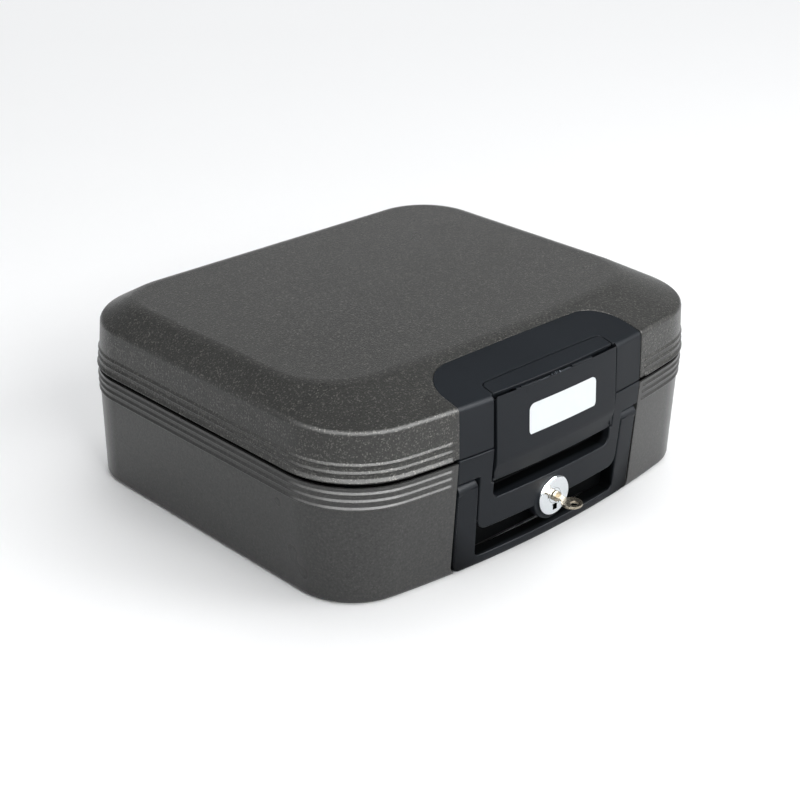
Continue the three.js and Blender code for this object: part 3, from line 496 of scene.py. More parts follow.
def panel_form(inset):
    """The front panel's body; the same form at two insets makes a moulding of even wall."""
    back_y = PANEL_POCKET_Y - CLEARANCE + (FAR if inset else 0)
    wide = PANEL_HALF - CLEARANCE - inset
    narrow = PANEL_NARROW_HALF - inset
    top_z = PANEL_TOP_Z - inset
    face = crossed(base_form(inset, top_z), middle_block(wide, -FAR, back_y, PANEL_FLOOR_Z + inset, FAR))
    sides = cut(middle_block(FAR, -FAR, FAR, -FAR, SHOULDER_Z + inset),
                drawn_in(plate(-narrow, narrow, PANEL_FLOOR_Z + inset, FAR, -2 * FAR, 2 * FAR,
                               PANEL_LOW_CORNER - inset / 2, 0)))
    latch_recess = middle_block(LATCH_RECESS_HALF + inset, -FAR, STRIKE_WALL_Y + inset,
                                SLOT_HIGH_Z - inset, FAR)
    slot = plate(-SLOT_HALF - inset, SLOT_HALF + inset, SLOT_LOW_Z - inset, STRIKE_WALL_Z + inset,
                 -FAR, RECESS_Y + inset, SLOT_CORNER + inset, 0)
    bar = drawn_in(plate(-narrow, narrow, LOCK_BAR_LOW_Z + inset, FAR, -2 * FAR, 2 * FAR,
                         LOCK_BAR_CORNER - inset, 0))
    room = cut(middle_block(PANEL_HALF, -FAR, RECESS_Y + inset, -FAR, SLOT_LOW_Z), bar)
    body = cut(face, sides, latch_recess, slot, room)
    boss = rod("Y", LOCK_BOSS_RADIUS - inset, LOCK_SEAT_Y + inset, RECESS_Y + 2 * inset, (0, LOCK_Z))
    if inset == 0:
        soften(body, PANEL_SOFTNESS, 40, segments=3)
        soften(boss, PANEL_SOFTNESS, 40, lambda e: middle(e).y < LOCK_SEAT_Y + 1, segments=3)
    return joined(body, boss)


def front_panel():
    keeper_window = middle_block(KEEPER_WINDOW_HALF, RECESS_Y - 1, RECESS_Y + 2 * PANEL_WALL,
                                 KEEPER_WINDOW_LOW_Z, KEEPER_WINDOW_HIGH_Z)
    return cut(panel_form(0), panel_form(PANEL_WALL),
               rod("Y", LOCK_FACE_RADIUS + CLEARANCE, -FAR, LOCK_SEAT_Y, (0, LOCK_Z)),
               rod("Y", LOCK_BARREL_RADIUS + CLEARANCE, -FAR, BARREL_HOLE_END_Y, (0, LOCK_Z)),
               keeper_window, *pin_holes())


# Carrying handle, folded down flush with the base
HANDLE_ARM_INNER = 78
HANDLE_ARM_OUTER = 96.5
HANDLE_THICKNESS = 12
HANDLE_LOW_Z = 1
HANDLE_BAR_HIGH_Z = 9
HANDLE_CORNER_RADIUS = 8
HANDLE_GAP_RADIUS = 4
HANDLE_EYE_RADIUS = 6
HANDLE_WALL_LOW_Z = -40
HANDLE_WALL_HIGH_Z = 133


def carrying_handle():
    wall = loft([outline(HANDLE_WALL_LOW_Z, HANDLE_THICKNESS),
                 outline(HANDLE_WALL_HIGH_Z, HANDLE_THICKNESS, SEAM_Z)])
    skin = cut(base_form(0, BASE_RIM_Z), wall)
    outer = plate(-HANDLE_ARM_OUTER, HANDLE_ARM_OUTER, HANDLE_LOW_Z, HANDLE_PIVOT_Z, -FAR, 0,
                  HANDLE_CORNER_RADIUS, 0)
    gap = drawn_in(plate(-HANDLE_ARM_INNER, HANDLE_ARM_INNER, HANDLE_BAR_HIGH_Z, FAR, -FAR, 10,
                         HANDLE_GAP_RADIUS, 0))
    eyes = rod("X", HANDLE_EYE_RADIUS, -HANDLE_ARM_OUTER, HANDLE_ARM_OUTER,
               (HANDLE_PIVOT_Y, HANDLE_PIVOT_Z))
    handle = cut(joined(crossed(skin, outer), eyes), gap)
    soften(handle, 1.0, 40, lambda e: abs(middle(e).z - HANDLE_PIVOT_Z) > 1.5, segments=3)
    return cut(handle, *pin_holes())


# Lid casing, bezel, cap strip and latch
HINGE_PAD_HALF = HINGE_HALF_WIDTH + 1
HINGE_PAD_TOP_Z = 120
CAP_HALF = 63
CAP_FRONT_DEPTH = 4.2
CAP_BACK_Y = CROWN_Y + 19.5
CAP_THICKNESS = 2
CAP_CORNER_RADIUS = 4
CAP_GAP = 1.1
TRIM_GAP = 0.1
LATCH_HALF = 64
LATCH_TOP_Z = 135.8
LATCH_TOP_Y = CROWN_Y + 0.7
LATCH_FACE_Y = CROWN_Y - 0.8
LATCH_LIP_Y = CROWN_Y + 3.5
LATCH_CREASE_Z = 81.5
LATCH_LOW_Z = 68
LATCH_SKIN = 3
LATCH_BOW = 885
LATCH_PIVOT_Y = CROWN_Y + 8
LATCH_PIVOT_Z = 130.8
LATCH_PIVOT = (LATCH_PIVOT_Y, LATCH_PIVOT_Z)
LATCH_EYE_RADIUS = 2.9
LATCH_EYE_INNER = 18
LATCH_EYE_OUTER = 36
LATCH_PIN_RADIUS = 1.8
LATCH_LUG_WIDTH = 4.5
LATCH_PIN_HOLE_HALF = 37
BEZEL_PIN_HOLE_HALF = 42
LATCH_RETURN_WIDTH = 2.2
LATCH_RETURN_BACK_Y = CROWN_Y + 9.2
HOOK_HALF = 20
HOOK_END_Y = CROWN_Y + 12.3
HOOK_LOW_Z = 79.5
HOOK_HIGH_Z = 82.7
KEEPER_HALF = 7
KEEPER_Y = LOCK_BARREL_END_Y + 3.2
KEEPER_BACK_Y = KEEPER_Y + 2
KEEPER_END_Z = 66
KEEPER_LOW_Z = 72
KEEPER_HIGH_Z = 75


def lid_casing():
    pads = [block(x - HINGE_PAD_HALF, x + HINGE_PAD_HALF, REAR_Y - SHELL_WALL, REAR_Y, LID_RIM_Z,
                  HINGE_PAD_TOP_Z) for x in (-HINGE_X, HINGE_X)]
    shell = cut(lid_form(0, LID_RIM_Z, ribs=True), bezel_pocket(0, LID_RIM_Z),
                lid_body(SHELL_WALL, LID_RIM_Z - SHELL_WALL))
    soften(shell, 0.7, 60)
    return cut(joined(shell, *pads), *screw_holes(True))


def behind_fold(inset):
    """Everything inside an upright surface that follows the fold's outline at a depth."""
    return loft([outline(-FAR, inset, FOLD_Z), outline(FAR, inset, FOLD_Z)])


def latch_pin_hole(half):
    return rod("X", LATCH_PIN_RADIUS + CLEARANCE, -half, half, LATCH_PIVOT, sides=24)


def cap_outline(grow):
    return crossed(column(CAP_HALF + grow, CAP_BACK_Y + grow, CAP_CORNER_RADIUS + grow, 8),
                   behind_fold(CAP_FRONT_DEPTH - grow))


def cap_strip():
    cap = crossed(cap_outline(0), lid_form(BEZEL_SINK, LID_RIM_Z))
    cap = cut(cap, lid_form(BEZEL_SINK + CAP_THICKNESS, LID_RIM_Z - 1))
    return soften(cap, 0.45, 40, segments=3)


def lid_bezel():
    trim = column(BEZEL_HALF - TRIM_GAP, BEZEL_BACK_Y - TRIM_GAP, BEZEL_CORNER_RADIUS - TRIM_GAP)
    skin = cut(crossed(lid_form(BEZEL_SINK, BEZEL_LOW_Z), trim),
               lid_form(BEZEL_SINK + BEZEL_THICKNESS, LID_RIM_Z - 1))
    well = crossed(middle_block(WELL_HALF + WELL_WALL, -FAR, WELL_BACK_Y + WELL_WALL, LID_RIM_Z,
                                WELL_ROOF_Z + WELL_WALL), lid_form(BEZEL_SINK, LID_RIM_Z))
    opening = middle_block(WELL_HALF, -FAR, WELL_BACK_Y, -FAR, WELL_ROOF_Z)
    groove = cut(middle_block(WELL_HALF, -FAR, 0, -FAR, FAR), behind_fold(CAP_FRONT_DEPTH - CLEARANCE))
    bezel = cut(joined(skin, well), opening)
    near = LATCH_EYE_OUTER + CLEARANCE
    for side in (-1, 1):
        x0, x1 = sorted((side * near, side * (near + LATCH_LUG_WIDTH)))
        lug = block(x0, x1, LATCH_PIVOT_Y, WELL_BACK_Y + WELL_WALL / 2, LATCH_PIVOT_Z - LATCH_EYE_RADIUS,
                    WELL_ROOF_Z + WELL_WALL)
        knuckle = rod("X", LATCH_EYE_RADIUS - CLEARANCE, x0, x1, LATCH_PIVOT, sides=32)
        bezel = joined(bezel, joined(lug, knuckle))
    cap_seat = cut(cap_outline(CAP_GAP),
                   lid_form(BEZEL_SINK + CAP_THICKNESS + CLEARANCE, LID_RIM_Z - 1))
    under_cap = middle_block(CAP_HALF + CLEARANCE, -FAR, LATCH_PIVOT_Y, WELL_ROOF_Z, FAR)
    bezel = cut(bezel, groove, cap_seat, under_cap)
    soften(bezel, 0.45, 40)
    return cut(bezel, latch_pin_hole(BEZEL_PIN_HOLE_HALF))


def latch_flap():
    crease = [(LATCH_FACE_Y, 85.5), (LATCH_FACE_Y + 0.15, 83.2), (LATCH_FACE_Y + 0.6, 81.2),
              (LATCH_FACE_Y + 1.3, 79)]
    profile = [(LATCH_TOP_Y, LATCH_TOP_Z), (LATCH_TOP_Y + LATCH_SKIN, LATCH_TOP_Z - LATCH_SKIN - 1),
               (LATCH_FACE_Y + LATCH_SKIN, SEAM_Z), (LATCH_FACE_Y + LATCH_SKIN, LATCH_CREASE_Z),
               (LATCH_LIP_Y + LATCH_SKIN, LATCH_LOW_Z + 0.6), (LATCH_LIP_Y, LATCH_LOW_Z)]
    profile += list(reversed(crease)) + [(LATCH_FACE_Y, SEAM_Z)]
    latch = soften(swept(profile, LATCH_HALF, LATCH_BOW), 0.6, 40, segments=3)
    inner_y = LATCH_FACE_Y + LATCH_SKIN - 1
    for side in (-1, 1):
        x0, x1 = sorted((side * LATCH_HALF, side * (LATCH_HALF - LATCH_RETURN_WIDTH)))
        side_return = block(x0, x1, LATCH_FACE_Y + 1.5 * LATCH_SKIN, LATCH_RETURN_BACK_Y, LATCH_LOW_Z + 3,
                            LATCH_TOP_Z - LATCH_SKIN - 1)
        x0, x1 = sorted((side * LATCH_EYE_INNER, side * LATCH_EYE_OUTER))
        eye = rod("X", LATCH_EYE_RADIUS, x0, x1, LATCH_PIVOT, sides=32)
        web = block(x0, x1, inner_y, LATCH_PIVOT_Y, LATCH_PIVOT_Z - LATCH_PIN_RADIUS,
                    LATCH_PIVOT_Z + LATCH_PIN_RADIUS)
        latch = joined(latch, side_return, joined(eye, web))
    hook = middle_block(HOOK_HALF, inner_y, HOOK_END_Y, HOOK_LOW_Z, HOOK_HIGH_Z)
    arm_y = LATCH_LIP_Y + LATCH_SKIN / 2
    keeper = joined(middle_block(KEEPER_HALF, arm_y, KEEPER_BACK_Y, KEEPER_LOW_Z, KEEPER_HIGH_Z),
                    middle_block(KEEPER_HALF, KEEPER_Y, KEEPER_BACK_Y, KEEPER_END_Z, KEEPER_HIGH_Z))
    return cut(joined(latch, hook, keeper), latch_pin_hole(LATCH_PIN_HOLE_HALF))


LABEL_CENTRE_X = 3.3
LABEL_HALF_WIDTH = 36
LABEL_CENTRE_Z = 107.6
LABEL_HALF_HEIGHT = 12.5
LABEL_CORNER_RADIUS = 5
LABEL_PROUD = 0.12


def blank_label():
    layer = [(LATCH_TOP_Y - LABEL_PROUD, LATCH_TOP_Z), (LATCH_TOP_Y + 0.2, LATCH_TOP_Z),
             (LATCH_FACE_Y + 0.2, SEAM_Z), (LATCH_FACE_Y - LABEL_PROUD, SEAM_Z)]
    shape = plate(LABEL_CENTRE_X - LABEL_HALF_WIDTH, LABEL_CENTRE_X + LABEL_HALF_WIDTH,
                  LABEL_CENTRE_Z - LABEL_HALF_HEIGHT, LABEL_CENTRE_Z + LABEL_HALF_HEIGHT, -FAR, 0,
                  LABEL_CORNER_RADIUS, LABEL_CORNER_RADIUS)
    return crossed(swept(layer, LATCH_HALF, LATCH_BOW), shape)


# Key lock and key
KEYWAY_HALF_WIDTH = 4.3
KEYWAY_HALF_HEIGHT = 1.2
KEYWAY_DEPTH = 15.3
KEYWAY_CORNER = 0.5
CAM_STUD_RADIUS = 3
CAM_STUD_END_Y = LOCK_BARREL_END_Y + 2.4
CAM_SCREW_HOLE_RADIUS = 1.9
CAM_SCREW_HOLE_Y = LOCK_BARREL_END_Y - 2.6
LOCK_NOTCH_Z = LOCK_Z - 9.1
LOCK_NOTCH_SIZE = 4.6
LOCK_NOTCH_DEPTH = 1.8
LOCK_NOTCH_CORNER = 0.3
KEY_COLLAR_BACK_Y = LOCK_FACE_Y - CLEARANCE
KEY_BOW_Y = LOCK_FACE_Y - 16.2
KEY_HOLE_Y = LOCK_FACE_Y - 18.2
KEY_BOW_RADIUS = 8
KEY_HOLE_RADIUS = 3.05
KEY_BOW_RISE = 1
KEY_SHANK_HALF = 3
KEY_WAIST_RADIUS = 2.2
KEY_WAIST_X = 4.7
KEY_WAIST_Y = KEY_BOW_Y + 9.8
KEY_COLLAR_RADIUS = 4
KEY_COLLAR_LENGTH = 2.5
KEY_BLADE_HALF = 4
KEY_BLADE_RISE = 0.9
KEY_TIP_Y = LOCK_FACE_Y + 14.8
KEY_TIP_RADIUS = 4.6
KEY_FIRST_CUT_Y = LOCK_FACE_Y + 2.6
KEY_CUT_PITCH = 2.4
KEY_CUT_RADIUS = 1.3
KEY_CUTS = (1.2, 0.7, 1.6, 0.9, 1.4)


def turned(profile, sides=96):
    """A solid turned round the lock's axis, from (radius, y) places that start and end on the axis."""
    bm = bmesh.new()
    verts = [bm.verts.new((radius, y, 0)) for radius, y in profile]
    edges = [bm.edges.new(pair) for pair in zip(verts, verts[1:])]
    bmesh.ops.spin(bm, geom=verts + edges, axis=(0, 1, 0), cent=(0, 0, 0), angle=2 * math.pi, steps=sides,
                   use_merge=True)
    bmesh.ops.remove_doubles(bm, verts=bm.verts, dist=0.001)
    bmesh.ops.recalc_face_normals(bm, faces=bm.faces)
    bmesh.ops.translate(bm, vec=(0, 0, LOCK_Z), verts=bm.verts)
    return bm


def lock_housing():
    face = LOCK_FACE_Y
    rim = LOCK_FACE_RADIUS
    barrel = LOCK_BARREL_RADIUS
    end = LOCK_BARREL_END_Y
    body = turned([(0, face + 0.5), (7.4, face + 0.5), (7.8, face + 0.4), (8.3, face + 0.05), (8.8, face),
                   (rim - 2.2, face), (rim - 1.3, face + 0.15), (rim - 0.5, face + 0.6),
                   (rim - 0.1, face + 1.3), (rim, face + 1.8), (rim, face + 2.8), (rim - 0.2, face + 3),
                   (barrel, face + 3), (barrel, end - 0.5), (barrel - 0.5, end), (0, end)])
    half = LOCK_NOTCH_SIZE / 2
    notch = plate(-half, half, LOCK_NOTCH_Z - half, LOCK_NOTCH_Z + half, -FAR, face + LOCK_NOTCH_DEPTH,
                  LOCK_NOTCH_CORNER, LOCK_NOTCH_CORNER, segments=3)
    return cut(body, rod("Y", PLUG_RADIUS + 0.15, -FAR, FAR, (0, LOCK_Z)), notch)


def lock_plug():
    face = LOCK_FACE_Y + CLEARANCE
    end = LOCK_BARREL_END_Y
    body = turned([(0, face), (PLUG_RADIUS - 0.5, face), (PLUG_RADIUS - 0.1, face + 0.15),
                   (PLUG_RADIUS, face + 0.5), (PLUG_RADIUS, end), (CAM_STUD_RADIUS, end),
                   (CAM_STUD_RADIUS, CAM_STUD_END_Y), (0, CAM_STUD_END_Y)], sides=64)
    keyway = plate(-KEYWAY_HALF_WIDTH, KEYWAY_HALF_WIDTH, LOCK_Z - KEYWAY_HALF_HEIGHT,
                   LOCK_Z + KEYWAY_HALF_HEIGHT, -FAR, LOCK_FACE_Y + KEYWAY_DEPTH, KEYWAY_CORNER,
                   KEYWAY_CORNER, segments=3)
    screw_hole = rod("Y", CAM_SCREW_HOLE_RADIUS, CAM_SCREW_HOLE_Y, FAR, (0, LOCK_Z), sides=24)
    return cut(body, keyway, screw_hole)


def flat_key():
    """The key lies flat: its bow's ring, a waisted shank, a collar and a blade with cuts."""
    def upright(radius, x, y, half=4, sides=32):
        return rod("Z", radius, LOCK_Z - half, LOCK_Z + half, (x, y), sides=sides)

    bow = upright(KEY_BOW_RADIUS, 0, KEY_BOW_Y, KEY_BOW_RISE, 64)
    shank = middle_block(KEY_SHANK_HALF, KEY_BOW_Y, KEY_COLLAR_BACK_Y - 1, LOCK_Z - KEY_BOW_RISE,
                         LOCK_Z + KEY_BOW_RISE)
    waists = [upright(KEY_WAIST_RADIUS, x, KEY_WAIST_Y) for x in (-KEY_WAIST_X, KEY_WAIST_X)]
    key = cut(joined(bow, shank), upright(KEY_HOLE_RADIUS, 0, KEY_HOLE_Y, sides=40), *waists)
    soften(key, 0.35, 40)
    collar = rod("Y", KEY_COLLAR_RADIUS, KEY_COLLAR_BACK_Y - KEY_COLLAR_LENGTH, KEY_COLLAR_BACK_Y,
                 (0, LOCK_Z))
    soften(collar, 0.4, 40)
    blade = middle_block(KEY_BLADE_HALF, KEY_COLLAR_BACK_Y - 1, KEY_TIP_Y, LOCK_Z - KEY_BLADE_RISE,
                         LOCK_Z + KEY_BLADE_RISE)
    for i, depth in enumerate(KEY_CUTS):
        cut_y = KEY_FIRST_CUT_Y + KEY_CUT_PITCH * i
        blade = cut(blade, upright(KEY_CUT_RADIUS, KEY_BLADE_HALF + 1 - depth, cut_y, 3, 6))
    tip = cut(middle_block(8, LOCK_FACE_Y + 13.4, LOCK_FACE_Y + 16, LOCK_Z - 3, LOCK_Z + 3),
              upright(KEY_TIP_RADIUS, 0, KEY_TIP_Y - KEY_TIP_RADIUS, 5, 48))
    groove = block(-1.6, 0.2, LOCK_FACE_Y - 0.2, FAR, LOCK_Z + 0.4, LOCK_Z + 3)
    return joined(key, collar, cut(blade, tip, groove))


# Storage trays and seal
CAVITY = (38, 54, 38)
CAVITY_DRAFT = 3
CAVITY_FLOOR_Z = 30
CAVITY_ROOF_Z = 118
FLANGE_TOP_Z = 94.5
FLANGE_THICKNESS = 2.5
GASKET_INSET = (15, 39, 15)
GASKET_WIDTH = 8
GASKET_DEPTH = 3.5
GASKET_RISE = 0.3
TRAY_ROUND = 5
TRAY_OVERCUT = 0.05


def deeper(inset, extra):
    return tuple(part + extra for part in inset)


def band(inset, width, z0, z1):
    """A band that follows the outline between two insets."""
    inner = deeper(inset, width)
    return loft([outline(z0, inset, SEAM_Z), outline(z1, inset, SEAM_Z), outline(z1, inner, SEAM_Z),
                 outline(z0, inner, SEAM_Z)], closed=True)


def tub(inset, draft, rim_z, floor_z, rounding):
    """A tapered tub with its floor edge rounded, as a solid."""
    bm = loft([outline(floor_z, deeper(inset, draft), SEAM_Z), outline(rim_z, inset, SEAM_Z)])
    return round_edges(bm, rounding, horizontal_near(floor_z), 5)


def base_tray():
    flange = cut(base_body(SHELL_WALL + CLEARANCE, FLANGE_TOP_Z),
                 middle_block(FAR, -FAR, FAR, -FAR, FLANGE_TOP_Z - FLANGE_THICKNESS))
    outer = tub(deeper(CAVITY, -LINER_WALL), CAVITY_DRAFT, FLANGE_TOP_Z, CAVITY_FLOOR_Z - LINER_WALL,
                TRAY_ROUND + LINER_WALL)
    seat = band(deeper(GASKET_INSET, -LINER_WALL), GASKET_WIDTH + 2 * LINER_WALL,
                FLANGE_TOP_Z - GASKET_DEPTH - LINER_WALL, FLANGE_TOP_Z)
    hollow = tub(deeper(CAVITY, -TRAY_OVERCUT), CAVITY_DRAFT, FLANGE_TOP_Z + 1, CAVITY_FLOOR_Z,
                 TRAY_ROUND)
    groove = band(GASKET_INSET, GASKET_WIDTH, FLANGE_TOP_Z - GASKET_DEPTH, FLANGE_TOP_Z + 2)
    return soften(cut(joined(flange, outer, seat), hollow, groove), 0.6, 60)


def seal():
    inset = deeper(GASKET_INSET, CLEARANCE)
    strip = band(inset, GASKET_WIDTH - 2 * CLEARANCE, FLANGE_TOP_Z - GASKET_DEPTH + CLEARANCE,
                 FLANGE_TOP_Z + GASKET_RISE)
    return soften(strip, 0.7, 60, segments=3)


def lid_tray():
    flange = crossed(lid_body(SHELL_WALL + CLEARANCE, LID_RIM_Z),
                     middle_block(FAR, -FAR, FAR, LID_RIM_Z - 1, LID_RIM_Z + FLANGE_THICKNESS))
    outer = tub(deeper(CAVITY, -LINER_WALL), CAVITY_DRAFT, LID_RIM_Z, CAVITY_ROOF_Z + LINER_WALL,
                TRAY_ROUND + LINER_WALL)
    hollow = tub(deeper(CAVITY, -TRAY_OVERCUT), CAVITY_DRAFT, LID_RIM_Z - 1, CAVITY_ROOF_Z, TRAY_ROUND)
    tongue = band(deeper(GASKET_INSET, 1.5), GASKET_WIDTH - 3, FLANGE_TOP_Z + GASKET_RISE + CLEARANCE,
                  LID_RIM_Z + 1)
    return soften(joined(cut(joined(flange, outer), hollow), tongue), 0.6, 60)


# Back hinges
HINGE_Y = REAR_Y + 6.5
HINGE_KNUCKLE_RADIUS = 5.5
HINGE_KNUCKLES = 5
HINGE_LEAF_THICKNESS = 2.5
HINGE_BASE_LEAF_Z = 70
HINGE_LID_LEAF_Z = 119
HINGE_PIN_RADIUS = 2.5
HINGE_PIN_HEAD_RADIUS = 4
HINGE_PIN_HEAD_LENGTH = 1.5
SCREW_HEAD_RADIUS = 3.8
SCREW_HEAD_HEIGHT = 2
SCREW_SHANK_RADIUS = 1.9
SCREW_LENGTH = 14
CROSS_REACH = 2.1
CROSS_HALF_WIDTH = 0.45
CROSS_FLOOR = 1.1


def hinge_leaf(centre_x, in_lid):
    plate_y = REAR_Y + CLEARANCE
    back_y = plate_y + HINGE_LEAF_THICKNESS
    reach = HINGE_KNUCKLE_RADIUS + 2 * CLEARANCE
    x0, x1 = centre_x - HINGE_HALF_WIDTH, centre_x + HINGE_HALF_WIDTH
    if in_lid:
        leaf = plate(x0, x1, SEAM_Z + reach, HINGE_LID_LEAF_Z, plate_y, back_y, 0, 4)
    else:
        leaf = plate(x0, x1, HINGE_BASE_LEAF_Z, SEAM_Z - reach, plate_y, back_y, 4, 0)
    pitch = 2 * HINGE_HALF_WIDTH / HINGE_KNUCKLES
    side = 1 if in_lid else -1
    for i in range(1 if in_lid else 0, HINGE_KNUCKLES, 2):
        start = x0 + i * pitch + CLEARANCE / 2
        end = start + pitch - CLEARANCE
        z0, z1 = sorted((SEAM_Z, SEAM_Z + side * 2 * reach))
        web = block(start, end, plate_y, back_y, z0, z1)
        knuckle = rod("X", HINGE_KNUCKLE_RADIUS, start, end, (HINGE_Y, SEAM_Z), sides=48)
        leaf = joined(leaf, joined(web, knuckle))
    soften(leaf, 0.35, 50)
    holes = [rod("Y", SCREW_HOLE_RADIUS, plate_y - 1, back_y + 1, (x, z), sides=24)
             for x, z, lid in HINGE_SCREWS if lid == in_lid and abs(x - centre_x) < HINGE_HALF_WIDTH]
    pin_hole = rod("X", HINGE_PIN_RADIUS + CLEARANCE, x0 - 1, x1 + 1, (HINGE_Y, SEAM_Z), sides=32)
    return cut(leaf, pin_hole, *holes)


def hinge_pin(centre_x):
    """A headed pin whose plain end is left in the last knuckle."""
    x0, x1 = centre_x - HINGE_HALF_WIDTH, centre_x + HINGE_HALF_WIDTH
    head = rod("X", HINGE_PIN_HEAD_RADIUS, x1 + CLEARANCE, x1 + CLEARANCE + HINGE_PIN_HEAD_LENGTH,
               (HINGE_Y, SEAM_Z))
    round_edges(head, 0.6, lambda e: sharp_angle(e) > 1 and middle(e).x > x1 + HINGE_PIN_HEAD_LENGTH, 3)
    shank = rod("X", HINGE_PIN_RADIUS, x0, x1 + 1, (HINGE_Y, SEAM_Z), sides=32)
    return joined(head, shank)


def hinge_screw(x, z):
    """A pan-head screw with a cross recess."""
    head_y = REAR_Y + CLEARANCE + HINGE_LEAF_THICKNESS + CLEARANCE
    head = rod("Y", SCREW_HEAD_RADIUS, head_y, head_y + SCREW_HEAD_HEIGHT, (x, z), sides=40)
    round_edges(head, 1.1, lambda e: sharp_angle(e) > 1 and middle(e).y > head_y + 1.9, 4)
    shank = rod("Y", SCREW_SHANK_RADIUS, head_y - SCREW_LENGTH, head_y + 1, (x, z), sides=20)
    slots = [block(x - wide, x + wide, head_y + CROSS_FLOOR, head_y + 4, z - high, z + high)
             for wide, high in ((CROSS_REACH, CROSS_HALF_WIDTH), (CROSS_HALF_WIDTH, CROSS_REACH))]
    return cut(joined(head, shank), joined(*slots))


# Finishes
# Where the black plastic's painted shade fades in: between these depths behind the front, and from the seam
# down to this height
RECESS_SHADE_FROM_Y = CROWN_Y + 9
RECESS_SHADE_TO_Y = CROWN_Y + 12.5
RECESS_SHADE_TO_Z = SEAM_Z - 5
# Heights of the band round the seam that is painted near black as shade
SEAM_SHADE_LOW_Z = 94.3
SEAM_SHADE_HIGH_Z = 98.25
# Reach and depth behind the lock's face within which the chrome is painted near black as shade
NOTCH_REACH = LOCK_FACE_RADIUS - 3
NOTCH_SHADE_Y = LOCK_FACE_Y + 0.55


def linear(hex_colour):
    """The linear colour, with full cover, of an sRGB hex value such as 2b2c2f."""
    parts = [int(hex_colour[i:i + 2], 16) / 255 for i in (0, 2, 4)]
    return [part / 12.92 if part <= 0.04045 else ((part + 0.055) / 1.055) ** 2.4 for part in parts] + [1]


def add_node(tree, kind, settings=None, inputs=None):
    """Adds a node, sets it up, and fills or links its inputs."""
    node = tree.nodes.new(kind)
    for name, value in (settings or {}).items():
        setattr(node, name, value)
    for name, value in (inputs or {}).items():
        if isinstance(value, bpy.types.NodeSocket):
            tree.links.new(value, node.inputs[name])
        else:
            node.inputs[name].default_value = value
    return node


def new_finish(name):
    """An empty material, its node tree and the object coordinates."""
    material = bpy.data.materials.new(name)
    material.use_nodes = True
    tree = material.node_tree
    tree.nodes.clear()
    return material, tree, add_node(tree, "ShaderNodeTexCoord").outputs["Object"]


def add_surface(tree, inputs, kind="ShaderNodeBsdfPrincipled"):
    """Ends a material in a shader and its output."""
    shader = add_node(tree, kind, {}, inputs)
    add_node(tree, "ShaderNodeOutputMaterial", {}, {"Surface": shader.outputs["BSDF"]})


def per_metre(size_mm):
    """A pattern's scale whose features measure about size_mm."""
    return 1 / (size_mm * MM)


def noise(tree, place, size_mm, **inputs):
    """A cloudy pattern between 0 and 1."""
    node = add_node(tree, "ShaderNodeTexNoise", {}, {"Vector": place, "Scale": per_metre(size_mm), **inputs})
    return node.outputs["Fac"]


def cells(tree, place, size_mm, output):
    """The colour of scattered cells, or the distance from their middles."""
    node = add_node(tree, "ShaderNodeTexVoronoi", {"feature": "F1"}, {
        "Vector": place, "Scale": per_metre(size_mm)})
    return node.outputs[output]


def spread(tree, value, from_low, from_high, to_low, to_high):
    """Carries one range of a value over to another."""
    node = add_node(tree, "ShaderNodeMapRange", {}, {
        "Value": value, "From Min": from_low, "From Max": from_high, "To Min": to_low, "To Max": to_high})
    return node.outputs["Result"]


def blend(tree, share, *colours):
    """A mix of two colours, each a hex value or the output of a node."""
    first, second = [linear(colour) if isinstance(colour, str) else colour for colour in colours]
    node = add_node(tree, "ShaderNodeMix", {"data_type": "RGBA"}, {
        "Factor": share, "A": first, "B": second})
    return node.outputs["Result"]


def relief(tree, height, strength, depth_mm):
    """The normal of a surface that a pattern seems to raise."""
    node = add_node(tree, "ShaderNodeBump", {}, {
        "Height": height, "Strength": strength, "Distance": depth_mm * MM})
    return node.outputs["Normal"]


def reckoned(tree, operation, *values):
    """The result of one step of arithmetic on numbers or outputs of nodes."""
    node = add_node(tree, "ShaderNodeMath", {"operation": operation}, dict(enumerate(values)))
    return node.outputs["Value"]


def coordinate(tree, place, axis):
    return add_node(tree, "ShaderNodeSeparateXYZ", {}, {"Vector": place}).outputs[axis]


def graphite_finish(name, dark, light, grain_mm, relief_mm, sparkle):
    """Textured ABS under a graphite paint with metal flakes: pebbled, half matt, with fine sparkle.

    A band round the gap between lid and base is painted near black and without shine, as painted shade in
    the seam.
    """
    material, tree, place = new_finish(name)
    pebble = noise(tree, place, grain_mm, Detail=3, Roughness=0.6)
    paint = blend(tree, spread(tree, pebble, 0.32, 0.68, 0, 1), dark, light)
    flake = add_node(tree, "ShaderNodeSeparateColor", {}, {"Color": cells(tree, place, 0.9, "Color")})
    spark = spread(tree, flake.outputs["Red"], 0.8, 1, 0, sparkle)
    # Painted shade: the band round the seam gap is painted near black and its shine is taken away
    seam_shade = reckoned(tree, "COMPARE", coordinate(tree, place, "Z"), (SEAM_SHADE_HIGH_Z + SEAM_SHADE_LOW_Z) / 2 * MM,
                    (SEAM_SHADE_HIGH_Z - SEAM_SHADE_LOW_Z) / 2 * MM)
    add_surface(tree, {
        "Base Color": blend(tree, seam_shade, blend(tree, spark, paint, "8d8b85"), "040404"),
        "Roughness": spread(tree, noise(tree, place, 60, Detail=2), 0, 1, 0.24, 0.35),
        "Specular IOR Level": spread(tree, seam_shade, 0, 1, 0.5, 0),
        "Normal": relief(tree, pebble, 0.6, relief_mm), "Metallic": 0.12, "IOR": 1.37})
    return material


